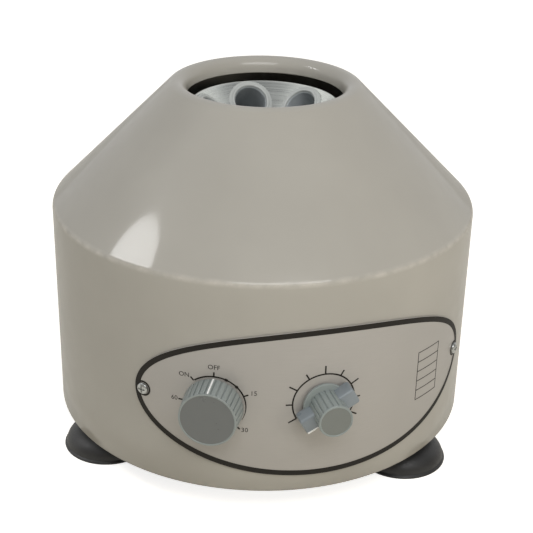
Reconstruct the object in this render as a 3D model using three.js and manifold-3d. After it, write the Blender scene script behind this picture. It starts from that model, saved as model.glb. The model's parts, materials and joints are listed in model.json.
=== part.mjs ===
// A bench centrifuge for six slanted sample tubes, in millimetres with +Z up.
// The front, where the control panel is, faces -Y, and the turning head's axis is the Z axis.
// Z = 0 is the underside of the base plate, level with the bottom edge of the housing.
import * as THREE from "three";
import { mergeVertices } from "three/addons/utils/BufferGeometryUtils.js";
import Module from "manifold-3d";

const wasm = await Module();
wasm.setup();

// Fits shared by the whole instrument
const seatGap = 0.3;
const cutOverrun = 1;
const sameSpot = 0.0001;
const shortestEdge = 0.003;

// Housing: a painted steel shell, a cylinder below and a 45 degree cone above
const bodyRadius = 130;
const shoulderHeight = 131;
const shoulderFillet = 5;
const coneAngle = 45;
const mouthRadius = 47.2;
const lipRadius = 6.4;
const lipDrop = 2.1;
const housingWall = 2;
const tabWidth = 16;
const tabReach = 16;
const tabThickness = 2;
const tabCount = 3;
const tabFirstAngle = -19.3;

// Base plate and what fastens it
const basePlateThickness = 2.5;
const baseScrewRadius = 2;
const baseScrewHeadRadius = 4;
const baseScrewHeadHeight = 2.4;
const baseScrewTip = 2.5;
const slotCount = 6;
const slotLength = 18;
const slotWidth = 5;
const slotFirstAngle = -49.3;
const beadInner = 15;
const beadOuter = 18;
const beadDepth = 0.6;

// Rubber suction feet
const footCount = 3;
const footFirstAngle = -79.3;
const footInset = 23;
const footHeight = 21;
const footRadius = 28;
const footSealWidth = 2.2;
const footRimHeight = 1.2;
const footNeckRadius = 10;
const footNeckHeight = 7;
const footHollowDepth = 6;
const footBoltRadius = 3;
const footBoltReach = 12;
const footBoltHeadRadius = 5.8;
const footBoltHeadHeight = 4;

// Control panel: an ellipse wrapped on the cylinder
const panelHalfWidth = 111;
const panelHalfHeight = 46.8;
const panelHeight = 57.5;
const panelThickness = 1;
const panelScrewInset = 5.5;
const panelScrewRadius = 1.5;
const panelScrewHeadRadius = 3;
const panelScrewHeadHeight = 1.8;
const panelScrewLength = 8;
const panelScrewRecess = 0.8;
const panelScrewSlot = 0.9;
const panelScrewRecessShare = 0.62;
const panHeadFaceShare = 0.6;
const panHeadSideShare = 0.4;

// Clockwork timer behind the left dial
const timerPlaceShare = 0.562;
const timerDrop = 0.6;
const timerCaseWidth = 44;
const timerCaseDepth = 28;
const timerCaseCorner = 6;
const timerPlateWidth = 46;
const timerPlateThickness = 2;
const timerBushRadius = 5;
const bushProud = 0.8;
const timerNutRadius = 8;
const timerNutHeight = 2.4;
const timerShaftRadius = 3;
const timerShaftDepth = 12;
const timerKnobBaseRadius = 17.2;
const timerKnobFaceRadius = 16.3;
const timerKnobHeight = 15.8;
const timerKnobEdge = 0.6;
const timerFaceRim = 1.8;
const timerFaceDepth = 0.4;
const timerKnobWall = 2.6;
const timerKnobRecess = 5;
const timerKnobLift = 0.8;
const timerRibCount = 32;
const timerRibDepth = 0.7;
const ribCrestShare = 0.7;
const ribFootShare = 0.85;

// Speed control behind the middle dial
const speedAngle = -0.5;
const speedRise = 0.8;
const potRadius = 12;
const potDepth = 10;
const potBushRadius = 4.5;
const potNutRadius = 6.4;
const potNutHeight = 2;
const speedShaftRadius = 3;
const speedShaftDepth = 6;
const speedSkirtRadius = 12.8;
const speedSkirtHeight = 1.8;
const speedBarrelRadius = 9.4;
const speedFaceRadius = 9.8;
const speedFaceThickness = 1.2;
const speedKnobHeight = 20.2;
const speedKnobEdge = 0.8;
const speedKnobLift = 0.7;
const speedKnobRecess = 3.8;
const speedKnobFace = 3;
const speedKnobRecessRadius = 7.1;
const speedBarLength = 34.4;
const speedBarWidth = 10.2;
const speedBarHeight = 10.4;
const speedBarFillet = 1.4;
const speedBarAngle = 30;
const speedRibCount = 18;
const speedRibDepth = 0.6;

// Head: the spun dish, its hub and the plate that steadies the sleeves
const rimClearance = 1.7;
const rimDrop = 4.8;
const dishWall = 2;
const dishDepth = 28;
const dishFillet = 5;
const tubeCount = 6;
const sleeveRimMargin = 1.43;
const tubeLean = 45;
const sleeveBore = 10.2;
const sleeveWall = 1;
const sleeveFlangeRadius = 14.1;
const sleeveFlangeHeight = 3.2;
const sleeveFlangeRound = 1;
const sleeveStep = 0.9;
const sleeveLipWidth = 0.8;
const sleeveMouthRound = 0.8;
const rotorClearance = 26.7;
const sleeveHoleClearance = 0.4;
const cushionThickness = 5;
const supportPlateDrop = 23;
const supportPlateThickness = 2.5;
const supportPlateEdge = 9.5;
const supportRimHeight = 7;
const hubRadius = 12;
const hubFlangeRadius = 22;
const hubFlangeThickness = 5;
const hubLowerLength = 15;
const hubLowerRadius = 9;
const capNutFlangeRadius = 12;
const capNutFlangeHeight = 1.5;
const capNutRadius = 9.8;
const capNutHexHeight = 5;
const capNutDomeRadius = 7.6;

// Motor and its rubber mounts
const shaftRadius = 4;
const mountCount = 3;
const mountFirstAngle = 40.7;
const mountRadius = 7.5;
const mountWaist = 6;
const mountHeight = 17;
const mountStudRadius = 2.4;
const mountStudProud = 4;
const mountCapShare = 0.15;
const canFlangeThickness = 2.5;
const canRadius = 36;
const canWall = 2;
const motorClearance = 6.9;
const canWindowCount = 4;
const canWindowAngle = 45;
const canWindowWidth = 14;
const canWindowHeightShare = 0.24;
const canWindowDropShare = 0.1;
const bearingRadius = 11;
const bearingWidth = 7;
const bearingSeatWall = 2.4;
const bearingLip = 2;
const bracketThickness = 4;
const bracketSpigot = 3;
const fieldWall = 9.4;
const fieldHeightShare = 0.53;
const fieldLiftShare = 0.18;
const airGap = 0.7;
const armatureHeightShare = 0.9;
const armatureSlotCount = 12;
const armatureSlotDepthShare = 0.25;
const armatureSlotShare = 0.32;
const commutatorRadius = 11;
const commutatorHeightShare = 0.16;
const commutatorLiftShare = 0.08;
const commutatorBarCount = 12;
const commutatorGroove = 0.5;
const commutatorGapShare = 0.12;
const brushWidth = 8;
const brushHeightShare = 0.58;

// Speed board on its sheet metal bridge
const boardAngle = 100.7;
const boardLength = 82;
const boardWidth = 42;
const boardThickness = 1.6;
const bridgeHeight = 12;
const bridgeSheet = 1.5;
const bridgeLength = 58;
const bridgeFlange = 8;
const bridgeWidth = 22;
const capacitorRadius = 9;
const capacitorHeight = 26;
const sinkLength = 24;
const sinkWidth = 14;
const sinkHeight = 22;
const sinkFinCount = 5;
const sinkFinShare = 0.5;
const sinkBaseThickness = 4;
const terminalLength = 26;
const terminalWidth = 12;
const terminalHeight = 11;
const terminalWayCount = 4;
const terminalWayWidth = 4;
const terminalWayDepth = 6;
const partShiftShare = 0.32;

// Rear wall: cable gland and fuse holder
const glandAngle = 180;
const glandHeight = 30;
const glandBore = 4;
const glandRadius = 7;
const glandFlangeRadius = 10;
const glandFlangeThickness = 3;
const glandGroove = 1;
const fuseAngle = 162;
const fuseHeight = 30;
const fuseRadius = 6.4;
const fuseFlangeRadius = 9;
const fuseFlangeThickness = 2;
const fuseDepth = 26;
const fuseCapRadius = 7;
const fuseCapHeight = 6;
const fuseSlotWidth = 1.4;
const fuseSlotDepth = 1.2;

// How finely the round forms are faceted
const bodySegments = 54;
const largeSegments = 36;
const mediumSegments = 22;
const smallSegments = 14;
const beadSegments = 15;
const boltSegments = 8;
const hexSegments = 6;
const filletSteps = 2;
const lipSteps = 5;
const domeSteps = 3;
const panelColumnCount = 40;

const radians = THREE.MathUtils.degToRad;

const paint = new THREE.MeshStandardMaterial({ color: 0xada89e, roughness: 0.45, metalness: 0 });
const panelFinish = new THREE.MeshStandardMaterial({ color: 0xa5a29b, roughness: 0.4, metalness: 0.2 });
const rubber = new THREE.MeshStandardMaterial({ color: 0x2d2d2d, roughness: 0.7, metalness: 0 });
const zincPlate = new THREE.MeshStandardMaterial({ color: 0xb4b6b4, roughness: 0.35, metalness: 1 });
const spunAluminium = new THREE.MeshStandardMaterial({ color: 0xb6bcbc, roughness: 0.28, metalness: 1 });
const blackSteel = new THREE.MeshStandardMaterial({ color: 0x3a3a3c, roughness: 0.5, metalness: 0.6 });
const brightSteel = new THREE.MeshStandardMaterial({ color: 0xc4c6c8, roughness: 0.2, metalness: 1 });
const copper = new THREE.MeshStandardMaterial({ color: 0xb87048, roughness: 0.35, metalness: 1 });
const greyPlastic = new THREE.MeshStandardMaterial({ color: 0x8c9492, roughness: 0.4, metalness: 0 });
const bluePlastic = new THREE.MeshStandardMaterial({ color: 0x7d8285, roughness: 0.35, metalness: 0 });
const sleevePlastic = new THREE.MeshStandardMaterial({ color: 0xbbbcb6, roughness: 0.4, metalness: 0 });
const blackPlastic = new THREE.MeshStandardMaterial({ color: 0x1e1e20, roughness: 0.5, metalness: 0 });
const boardGreen = new THREE.MeshStandardMaterial({ color: 0x2f6b45, roughness: 0.5, metalness: 0 });

const centrifuge = new THREE.Group();

// A closed geometry as a solid that can be joined and cut.
function solid(geometry) {
  const bare = geometry.clone();
  bare.deleteAttribute("normal");
  bare.deleteAttribute("uv");
  const merged = mergeVertices(bare, sameSpot);
  return new wasm.Manifold(
    new wasm.Mesh({
      numProp: 3,
      vertProperties: merged.attributes.position.array,
      triVerts: new Uint32Array(merged.index.array),
    }),
  );
}

// A solid as a geometry that a mesh can show.
function geometryOf(body) {
  const { vertProperties, triVerts } = body.getMesh();
  const geometry = new THREE.BufferGeometry();
  geometry.setAttribute("position", new THREE.BufferAttribute(vertProperties, 3));
  geometry.setIndex(new THREE.BufferAttribute(triVerts, 1));
  geometry.computeVertexNormals();
  return geometry;
}

// The first geometry with every other one cut out of it.
function cut(geometry, tools) {
  return geometryOf(tools.reduce((body, tool) => body.subtract(solid(tool)), solid(geometry)));
}

// Several overlapping geometries joined into one.
function join(geometries) {
  const [first, ...rest] = geometries.map(solid);
  return geometryOf(rest.reduce((body, next) => body.add(next), first));
}

// A profile of [radius, height] points turned about the Z axis, drawn anticlockwise from the axis outwards.
function turned(profile, segments) {
  const points = profile.map(([radius, height]) => new THREE.Vector2(radius, height));
  return new THREE.LatheGeometry(points, segments).rotateX(Math.PI / 2);
}

// The same for a ring, whose profile closes on its first point.
function turnedRing(profile, segments) {
  return turned([...profile, profile[0]], segments);
}

// A plain round bar or disc between two heights.
function bar(radius, bottom, top, segments) {
  return turned(
    [
      [0, bottom],
      [radius, bottom],
      [radius, top],
      [0, top],
    ],
    segments,
  );
}

// A plain tube between two heights.
function tube(inner, outer, bottom, top, segments) {
  return turnedRing(
    [
      [inner, bottom],
      [outer, bottom],
      [outer, top],
      [inner, top],
    ],
    segments,
  );
}

// A box centred on X and Y, standing on the height that is given.
function block(width, depth, height, bottom) {
  return new THREE.BoxGeometry(width, depth, height).translate(0, 0, bottom + height / 2);
}

// A flat outline pushed up from one height.
function pushed(shape, bottom, height) {
  const settings = { depth: height, bevelEnabled: false, curveSegments: filletSteps };
  return new THREE.ExtrudeGeometry(shape, settings).translate(0, 0, bottom);
}

// Points on an arc in the profile plane, from one angle to another in degrees.
function arc(centreRadius, centreHeight, radius, from, to, steps) {
  return Array.from({ length: steps + 1 }, (_, step) => {
    const angle = radians(from + ((to - from) * step) / steps);
    return [centreRadius + radius * Math.cos(angle), centreHeight + radius * Math.sin(angle)];
  });
}

function roundedRectangle(width, height, corner) {
  const shape = new THREE.Shape();
  const x = width / 2 - corner;
  const y = height / 2 - corner;
  shape.absarc(x, y, corner, 0, Math.PI / 2);
  shape.absarc(-x, y, corner, Math.PI / 2, Math.PI);
  shape.absarc(-x, -y, corner, Math.PI, 1.5 * Math.PI);
  shape.absarc(x, -y, corner, 1.5 * Math.PI, 2 * Math.PI);
  shape.closePath();
  return shape;
}

function roundedSquare(width, corner) {
  return roundedRectangle(width, width, corner);
}

// A slot with round ends.
function slotOutline(length, width) {
  const shape = new THREE.Shape();
  const centre = (length - width) / 2;
  shape.absarc(centre, 0, width / 2, -Math.PI / 2, Math.PI / 2);
  shape.absarc(-centre, 0, width / 2, Math.PI / 2, 1.5 * Math.PI);
  shape.closePath();
  return shape;
}

// A disc with straight slots round its edge and a bore in its middle.
function slottedOutline(radius, depth, count, slotShare, bore) {
  const shape = new THREE.Shape();
  const cornerShares = [
    { turn: 0, reach: radius },
    { turn: (1 - slotShare) / 2, reach: radius },
    { turn: 1 - slotShare, reach: radius },
    { turn: 1 - slotShare, reach: radius - depth },
    { turn: 1, reach: radius - depth },
  ];
  for (let slot = 0; slot < count; slot += 1) {
    cornerShares.forEach(({ turn, reach }, corner) => {
      const angle = ((slot + turn) / count) * 2 * Math.PI;
      const spot = [reach * Math.cos(angle), reach * Math.sin(angle)];
      if (slot === 0 && corner === 0) shape.moveTo(...spot);
      else shape.lineTo(...spot);
    });
  }
  shape.closePath();
  const hole = Array.from({ length: smallSegments }, (_, index) => {
    const angle = (-2 * Math.PI * index) / smallSegments;
    return new THREE.Vector2(bore * Math.cos(angle), bore * Math.sin(angle));
  });
  shape.holes.push(new THREE.Path(hole));
  return shape;
}

// The section of a folded bridge: two flanges, two legs and a top.
function topHatOutline(width, height, flange, sheet) {
  const shape = new THREE.Shape();
  const half = width / 2;
  const outer = [
    [-half - flange, 0],
    [-half + sheet, 0],
    [-half + sheet, height - sheet],
    [half - sheet, height - sheet],
    [half - sheet, 0],
    [half + flange, 0],
    [half + flange, sheet],
    [half, sheet],
    [half, height],
    [-half, height],
    [-half, sheet],
    [-half - flange, sheet],
  ];
  shape.setFromPoints(outer.map(([x, y]) => new THREE.Vector2(x, y)));
  shape.closePath();
  return shape;
}

// Points round a circle whose edge carries shallow grip ribs.
function ribbedPoints(radius, depth, count) {
  const corners = [
    { turnShare: 0, reach: radius },
    { turnShare: ribCrestShare, reach: radius },
    { turnShare: ribFootShare, reach: radius - depth },
  ];
  return Array.from({ length: count }, (_, rib) =>
    corners.map(({ turnShare, reach }) => {
      const angle = ((rib + turnShare) / count) * 2 * Math.PI;
      return [reach * Math.cos(angle), reach * Math.sin(angle)];
    }),
  ).flat();
}

// Points carried up through layers, each at a height and a share of their size, and closed at both ends.
function lofted(points, layers) {
  const rings = layers.map(({ height, share }) =>
    points.map(([x, y]) => new THREE.Vector3(x * share, y * share, height)),
  );
  const bottomCentre = new THREE.Vector3(0, 0, layers[0].height);
  const topCentre = new THREE.Vector3(0, 0, layers.at(-1).height);
  const corners = [];
  points.forEach((_, index) => {
    const next = (index + 1) % points.length;
    corners.push(bottomCentre, rings[0][next], rings[0][index]);
    corners.push(topCentre, rings.at(-1)[index], rings.at(-1)[next]);
    rings.slice(1).forEach((upper, layer) => {
      const lower = rings[layer];
      corners.push(lower[index], lower[next], upper[next]);
      corners.push(lower[index], upper[next], upper[index]);
    });
  });
  return new THREE.BufferGeometry().setFromPoints(corners);
}

// Names a piece and puts it in its group.
function addPiece(name, geometry, material, group = centrifuge) {
  const mesh = new THREE.Mesh(geometry, material);
  mesh.name = name;
  group.add(mesh);
}

// A place at an angle round the Z axis from the front, with -Y outwards, leaning about its own X axis.
function placeAt(angle, radius, height, lean = 0) {
  const turn = radians(angle);
  const [x, y] = [radius * Math.sin(turn), -radius * Math.cos(turn)];
  const spot = new THREE.Matrix4().makeTranslation(x, y, height);
  const facing = new THREE.Euler(radians(lean), 0, turn, "ZYX");
  return spot.multiply(new THREE.Matrix4().makeRotationFromEuler(facing));
}

// A place on the Z axis whose own Z axis points outwards through the wall, with X to the viewer's right.
function wallPlace(angle, height) {
  return placeAt(angle, 0, height, 90);
}

function groupAt(place) {
  const group = new THREE.Group();
  group.applyMatrix4(place);
  centrifuge.add(group);
  return group;
}

function moved(geometry, place) {
  return geometry.clone().applyMatrix4(place);
}

function circleAngles(count, first) {
  return Array.from({ length: count }, (_, index) => first + (360 * index) / count);
}

// Radii and places that follow the drum
const innerRadius = bodyRadius - housingWall;
const panelBack = bodyRadius + seatGap;
const panelFront = panelBack + panelThickness;
const tabBottom = basePlateThickness + seatGap;
const tabCircleRadius = innerRadius - tabReach / 2;
const footCircleRadius = bodyRadius - footInset;
const panelScrewAngle = THREE.MathUtils.radToDeg((panelHalfWidth - panelScrewInset) / bodyRadius);
const timerAngle = -THREE.MathUtils.radToDeg((panelHalfWidth * timerPlaceShare) / bodyRadius);
const timerHeight = panelHeight - timerDrop;
const speedHeight = panelHeight + speedRise;
const tabAngles = circleAngles(tabCount, tabFirstAngle);
const footAngles = circleAngles(footCount, footFirstAngle);
const mountAngles = circleAngles(mountCount, mountFirstAngle);
const slotAngles = circleAngles(slotCount, slotFirstAngle);
const tubeAngles = circleAngles(tubeCount, 0);

// The rolled mouth, whose tube touches the cone and the mouth's own cylinder
const coneSlope = Math.tan(radians(coneAngle));
const coneSlant = Math.hypot(1, coneSlope);
const lipCentre = mouthRadius + lipRadius;
const lipCentreHeight = shoulderHeight + (bodyRadius - lipCentre) * coneSlope - lipRadius * coneSlant;
const lipBottom = lipCentreHeight - lipDrop;

// The dish hangs just below the mouth, and its slope carries the sleeves
const dishRimRadius = mouthRadius - rimClearance;
const dishRimHeight = lipBottom - rimDrop;
const dishFloorHeight = dishRimHeight - dishDepth;
const dishUnderside = dishFloorHeight - dishWall;
const dishSlope = Math.tan(radians(tubeLean));
const rimCentre = dishRimRadius - dishWall / 2;
const rimCentreHeight = dishRimHeight - dishWall / 2;
const dishFaceLift = dishWall / 2 / Math.cos(radians(tubeLean));
const tubeCircleRadius = rimCentre - sleeveFlangeRadius * Math.cos(radians(tubeLean)) - sleeveRimMargin;
const sleeveSeatHeight = rimCentreHeight - (rimCentre - tubeCircleRadius) * dishSlope + dishFaceLift;
const sleeveRadius = sleeveBore + sleeveWall;
const sleeveTipReach = innerRadius - rotorClearance - sleeveRadius - tubeCircleRadius;
const sleeveLength = sleeveTipReach / Math.sin(radians(tubeLean)) + sleeveRadius;

// The plate below the dish reaches past its slanted holes
const supportPlateHeight = dishUnderside - supportPlateDrop;
const sleeveAxisAtPlate = tubeCircleRadius + (sleeveSeatHeight - supportPlateHeight) / dishSlope;
const plateHoleReach = (sleeveRadius + sleeveHoleClearance) / Math.cos(radians(tubeLean));
const supportPlateRadius = sleeveAxisAtPlate + plateHoleReach + supportPlateEdge;

// The hub, the motor below it and the nut above it
const hubTop = dishUnderside - seatGap;
const hubFlangeTop = supportPlateHeight - seatGap;
const hubFlangeBottom = hubFlangeTop - hubFlangeThickness;
const hubBottom = hubFlangeBottom - hubLowerLength;
const capNutBottom = dishFloorHeight + seatGap;
const shaftTop = capNutBottom + capNutFlangeHeight + capNutHexHeight;
const mountBottom = basePlateThickness + seatGap;
const mountCircleRadius = canRadius + mountRadius;
const canFlangeRadius = mountCircleRadius + mountRadius;
const canBottom = mountBottom + mountHeight + seatGap;
const canFloor = canBottom + canFlangeThickness;
const canTop = hubBottom - motorClearance - bearingWidth - bracketThickness / 2 - seatGap;
const canHeight = canTop - canFloor;
const canInner = canRadius - canWall;
const bearingSeat = bearingRadius + seatGap;

// The ring of floor between the motor and the tabs, where the slots and the speed board are
const floorRingRadius = (canFlangeRadius + innerRadius - tabReach) / 2;

// The furthest out that a flat piece of this half width can lie behind the curved wall.
function behindWall(halfWidth) {
  return Math.sqrt((innerRadius - seatGap) ** 2 - halfWidth ** 2) - seatGap;
}

// A drilling through the wall and the panel, on the axis of a dial, a screw or a fitting.
function wallDrilling(radius, angle, height, segments = smallSegments) {
  const drill = bar(radius, innerRadius - housingWall, panelFront + cutOverrun, segments);
  return moved(drill, wallPlace(angle, height));
}

// An upright drilling through a plate that lies between two heights.
function plateDrilling(radius, angle, circleRadius, bottom, top) {
  const drill = bar(radius, bottom - cutOverrun, top + cutOverrun, boltSegments);
  return moved(drill, placeAt(angle, circleRadius, 0));
}

// The housing: cylinder, shoulder, cone and rolled mouth, drawn up the outside and back down the inside.
function housingShell() {
  const coneNormal = 90 - coneAngle;
  const filletCentre = bodyRadius - shoulderFillet;
  const filletCentreHeight = shoulderHeight + shoulderFillet * (coneSlope - coneSlant);
  const lipInner = lipRadius - housingWall;
  const filletInner = shoulderFillet - housingWall;
  const outside = [
    [bodyRadius, 0],
    ...arc(filletCentre, filletCentreHeight, shoulderFillet, 0, coneNormal, filletSteps),
    ...arc(lipCentre, lipCentreHeight, lipRadius, coneNormal, 180, lipSteps),
    [mouthRadius, lipBottom],
  ];
  const inside = [
    [mouthRadius + housingWall, lipBottom],
    ...arc(lipCentre, lipCentreHeight, lipInner, 180, coneNormal, lipSteps),
    ...arc(filletCentre, filletCentreHeight, filletInner, coneNormal, 0, filletSteps),
    [innerRadius, 0],
  ];
  return turnedRing([...outside, ...inside], bodySegments);
}

// A tab welded inside the wall, which the base plate's screws pull on.
function housingTab(angle) {
  const weld = housingWall / 2;
  const tab = block(tabWidth, tabReach + weld, tabThickness, tabBottom).translate(0, -weld / 2, 0);
  return moved(tab, placeAt(angle, tabCircleRadius, 0));
}

function makeHousing() {
  const shell = join([housingShell(), ...tabAngles.map(housingTab)]);
  const tabHole = baseScrewRadius + seatGap;
  const drillings = [
    ...tabAngles.map((angle) =>
      plateDrilling(tabHole, angle, tabCircleRadius, tabBottom, tabBottom + tabThickness),
    ),
    wallDrilling(timerBushRadius + seatGap, timerAngle, timerHeight),
    wallDrilling(potBushRadius + seatGap, speedAngle, speedHeight),
    wallDrilling(glandRadius - glandGroove + seatGap, glandAngle, glandHeight),
    wallDrilling(fuseRadius + seatGap, fuseAngle, fuseHeight),
    wallDrilling(panelScrewRadius + seatGap, -panelScrewAngle, panelHeight, boltSegments),
    wallDrilling(panelScrewRadius + seatGap, panelScrewAngle, panelHeight, boltSegments),
  ];
  addPiece("housing", cut(shell, drillings), paint);
}

// The base plate, with a pressed ring round its middle and slots that let the motor's air in.
function makeBasePlate() {
  const disc = bar(innerRadius - seatGap, 0, basePlateThickness, bodySegments);
  const bead = tube(beadInner, beadOuter, -cutOverrun, beadDepth, beadSegments);
  const slot = pushed(slotOutline(slotLength, slotWidth), -cutOverrun, basePlateThickness + 2 * cutOverrun);
  const through = (radius, angle, circleRadius) =>
    plateDrilling(radius, angle, circleRadius, 0, basePlateThickness);
  const drillings = [
    ...tabAngles.map((angle) => through(baseScrewRadius + seatGap, angle, tabCircleRadius)),
    ...footAngles.map((angle) => through(footBoltRadius + seatGap, angle, footCircleRadius)),
    ...mountAngles.map((angle) => through(mountStudRadius + seatGap, angle, mountCircleRadius)),
    ...slotAngles.map((angle) => moved(slot, placeAt(angle, floorRingRadius, 0))),
    bead,
  ];
  addPiece("base_plate", cut(disc, drillings), blackSteel);
}

// A pan head screw that points up, its head below the plate.
function makeBaseScrews() {
  const headTop = -seatGap;
  const tip = tabBottom + tabThickness + baseScrewTip;
  const screw = turned(
    [
      [0, headTop - baseScrewHeadHeight],
      [baseScrewHeadRadius * panHeadFaceShare, headTop - baseScrewHeadHeight],
      [baseScrewHeadRadius, headTop - baseScrewHeadHeight * panHeadSideShare],
      [baseScrewHeadRadius, headTop],
      [baseScrewRadius, headTop],
      [baseScrewRadius, tip],
      [0, tip],
    ],
    boltSegments,
  );
  tabAngles.forEach((angle, index) => {
    addPiece(`base_screw_${index + 1}`, screw, zincPlate, groupAt(placeAt(angle, tabCircleRadius, 0)));
  });
}

// A domed suction foot with a hollow underside, and the bolt that holds it to the base plate.
function makeFeet() {
  const hollowRadius = footRadius - footSealWidth;
  const domeHeight = footHeight - footNeckHeight - footRimHeight;
  const domeWidth = footRadius - footNeckRadius;
  const quarter = Array.from({ length: domeSteps + 1 }, (_, step) => (Math.PI / 2) * (step / domeSteps));
  const hollow = quarter.map((turn) => [hollowRadius * Math.sin(turn), footHollowDepth * Math.cos(turn)]);
  const dome = quarter.map((turn) => [
    footNeckRadius + domeWidth * Math.cos(turn),
    footRimHeight + domeHeight * Math.sin(turn),
  ]);
  const top = footHeight - seatGap;
  const profile = [...hollow, [footRadius, 0], ...dome, [footNeckRadius, top], [0, top]];
  const blank = turned(profile, mediumSegments);
  const boltTip = footHeight - footBoltReach;
  const foot = cut(blank, [bar(footBoltRadius + seatGap, boltTip - seatGap, footHeight, boltSegments)]);
  const headBottom = footHeight + basePlateThickness + seatGap;
  const bolt = join([
    bar(footBoltRadius, boltTip, headBottom + footBoltHeadHeight / 2, boltSegments),
    bar(footBoltHeadRadius, headBottom, headBottom + footBoltHeadHeight, hexSegments),
  ]);
  footAngles.forEach((angle, index) => {
    const place = groupAt(placeAt(angle, footCircleRadius, -footHeight));
    addPiece(`foot_${index + 1}`, foot, rubber, place);
    addPiece(`foot_bolt_${index + 1}`, bolt, zincPlate, place);
  });
}

// The panel's ellipse is cut from upright strips, so that it bends with the cylinder.
function panelBlank() {
  const columns = Array.from({ length: panelColumnCount + 1 }, (_, column) => {
    const turn = (Math.PI * column) / panelColumnCount;
    const angle = (-panelHalfWidth * Math.cos(turn)) / bodyRadius;
    const rise = panelHalfHeight * Math.sin(turn);
    const point = (radius, lift) =>
      new THREE.Vector3(radius * Math.sin(angle), -radius * Math.cos(angle), panelHeight + lift);
    return {
      frontTop: point(panelFront, rise),
      frontBottom: point(panelFront, -rise),
      backTop: point(panelBack, rise),
      backBottom: point(panelBack, -rise),
    };
  });
  const corners = [];
  const triangle = (a, b, c) => {
    const pointed = [a.distanceTo(b), b.distanceTo(c), c.distanceTo(a)].every((side) => side > shortestEdge);
    if (pointed) corners.push(a, b, c);
  };
  const quad = (a, b, c, d) => {
    triangle(a, b, c);
    triangle(a, c, d);
  };
  columns.slice(1).forEach((right, index) => {
    const left = columns[index];
    quad(left.frontBottom, right.frontBottom, right.frontTop, left.frontTop);
    quad(right.backBottom, left.backBottom, left.backTop, right.backTop);
    quad(left.frontTop, right.frontTop, right.backTop, left.backTop);
    quad(left.backBottom, right.backBottom, right.frontBottom, left.frontBottom);
  });
  return new THREE.BufferGeometry().setFromPoints(corners);
}

function makePanel() {
  const drillings = [
    wallDrilling(timerBushRadius + seatGap, timerAngle, timerHeight),
    wallDrilling(potBushRadius + seatGap, speedAngle, speedHeight),
    wallDrilling(panelScrewRadius + seatGap, -panelScrewAngle, panelHeight, boltSegments),
    wallDrilling(panelScrewRadius + seatGap, panelScrewAngle, panelHeight, boltSegments),
  ];
  addPiece("panel_plate", cut(panelBlank(), drillings), panelFinish);
}

function makePanelScrews() {
  const headBottom = panelFront + seatGap;
  const headTop = headBottom + panelScrewHeadHeight;
  const screw = turned(
    [
      [0, headBottom - panelScrewLength],
      [panelScrewRadius, headBottom - panelScrewLength],
      [panelScrewRadius, headBottom],
      [panelScrewHeadRadius, headBottom],
      [panelScrewHeadRadius, headBottom + panelScrewHeadHeight * panHeadSideShare],
      [panelScrewHeadRadius * panHeadFaceShare, headTop],
      [0, headTop],
    ],
    smallSegments,
  );
  const slotLength = 2 * panelScrewHeadRadius * panelScrewRecessShare;
  const slot = block(slotLength, panelScrewSlot, panelScrewRecess + cutOverrun, headTop - panelScrewRecess);
  const crossed = cut(screw, [slot, slot.clone().rotateZ(Math.PI / 2)]);
  addPiece("panel_screw_left", crossed, zincPlate, groupAt(wallPlace(-panelScrewAngle, panelHeight)));
  addPiece("panel_screw_right", crossed, zincPlate, groupAt(wallPlace(panelScrewAngle, panelHeight)));
}

// A hexagon nut seated on the panel, round a threaded bush.
function panelNut(cornerRadius, bushRadius, height) {
  const bottom = panelFront + seatGap;
  const hexagon = bar(cornerRadius, bottom, bottom + height, hexSegments);
  const hole = bar(bushRadius + seatGap, bottom - cutOverrun, bottom + height + cutOverrun, smallSegments);
  return cut(hexagon, [hole]);
}

// A knob's hollow back and the bore for its shaft.
function knobCuts(bottom, recessRadius, recessDepth, shaftRadius, boreTop) {
  return [
    bar(recessRadius, bottom - cutOverrun, bottom + recessDepth, mediumSegments),
    bar(shaftRadius + seatGap, bottom, boreTop, smallSegments),
  ];
}

// A ribbed grip that narrows towards its face, with the face's edge eased.
function ribbedGrip(baseRadius, faceRadius, ribDepth, ribCount, edge, bottom, height) {
  const top = bottom + height;
  const faceShare = faceRadius / baseRadius;
  const easedShare = (faceRadius - edge) / baseRadius;
  return lofted(ribbedPoints(baseRadius, ribDepth, ribCount), [
    { height: bottom, share: 1 },
    { height: top - edge, share: faceShare },
    { height: top, share: easedShare },
  ]);
}

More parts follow.
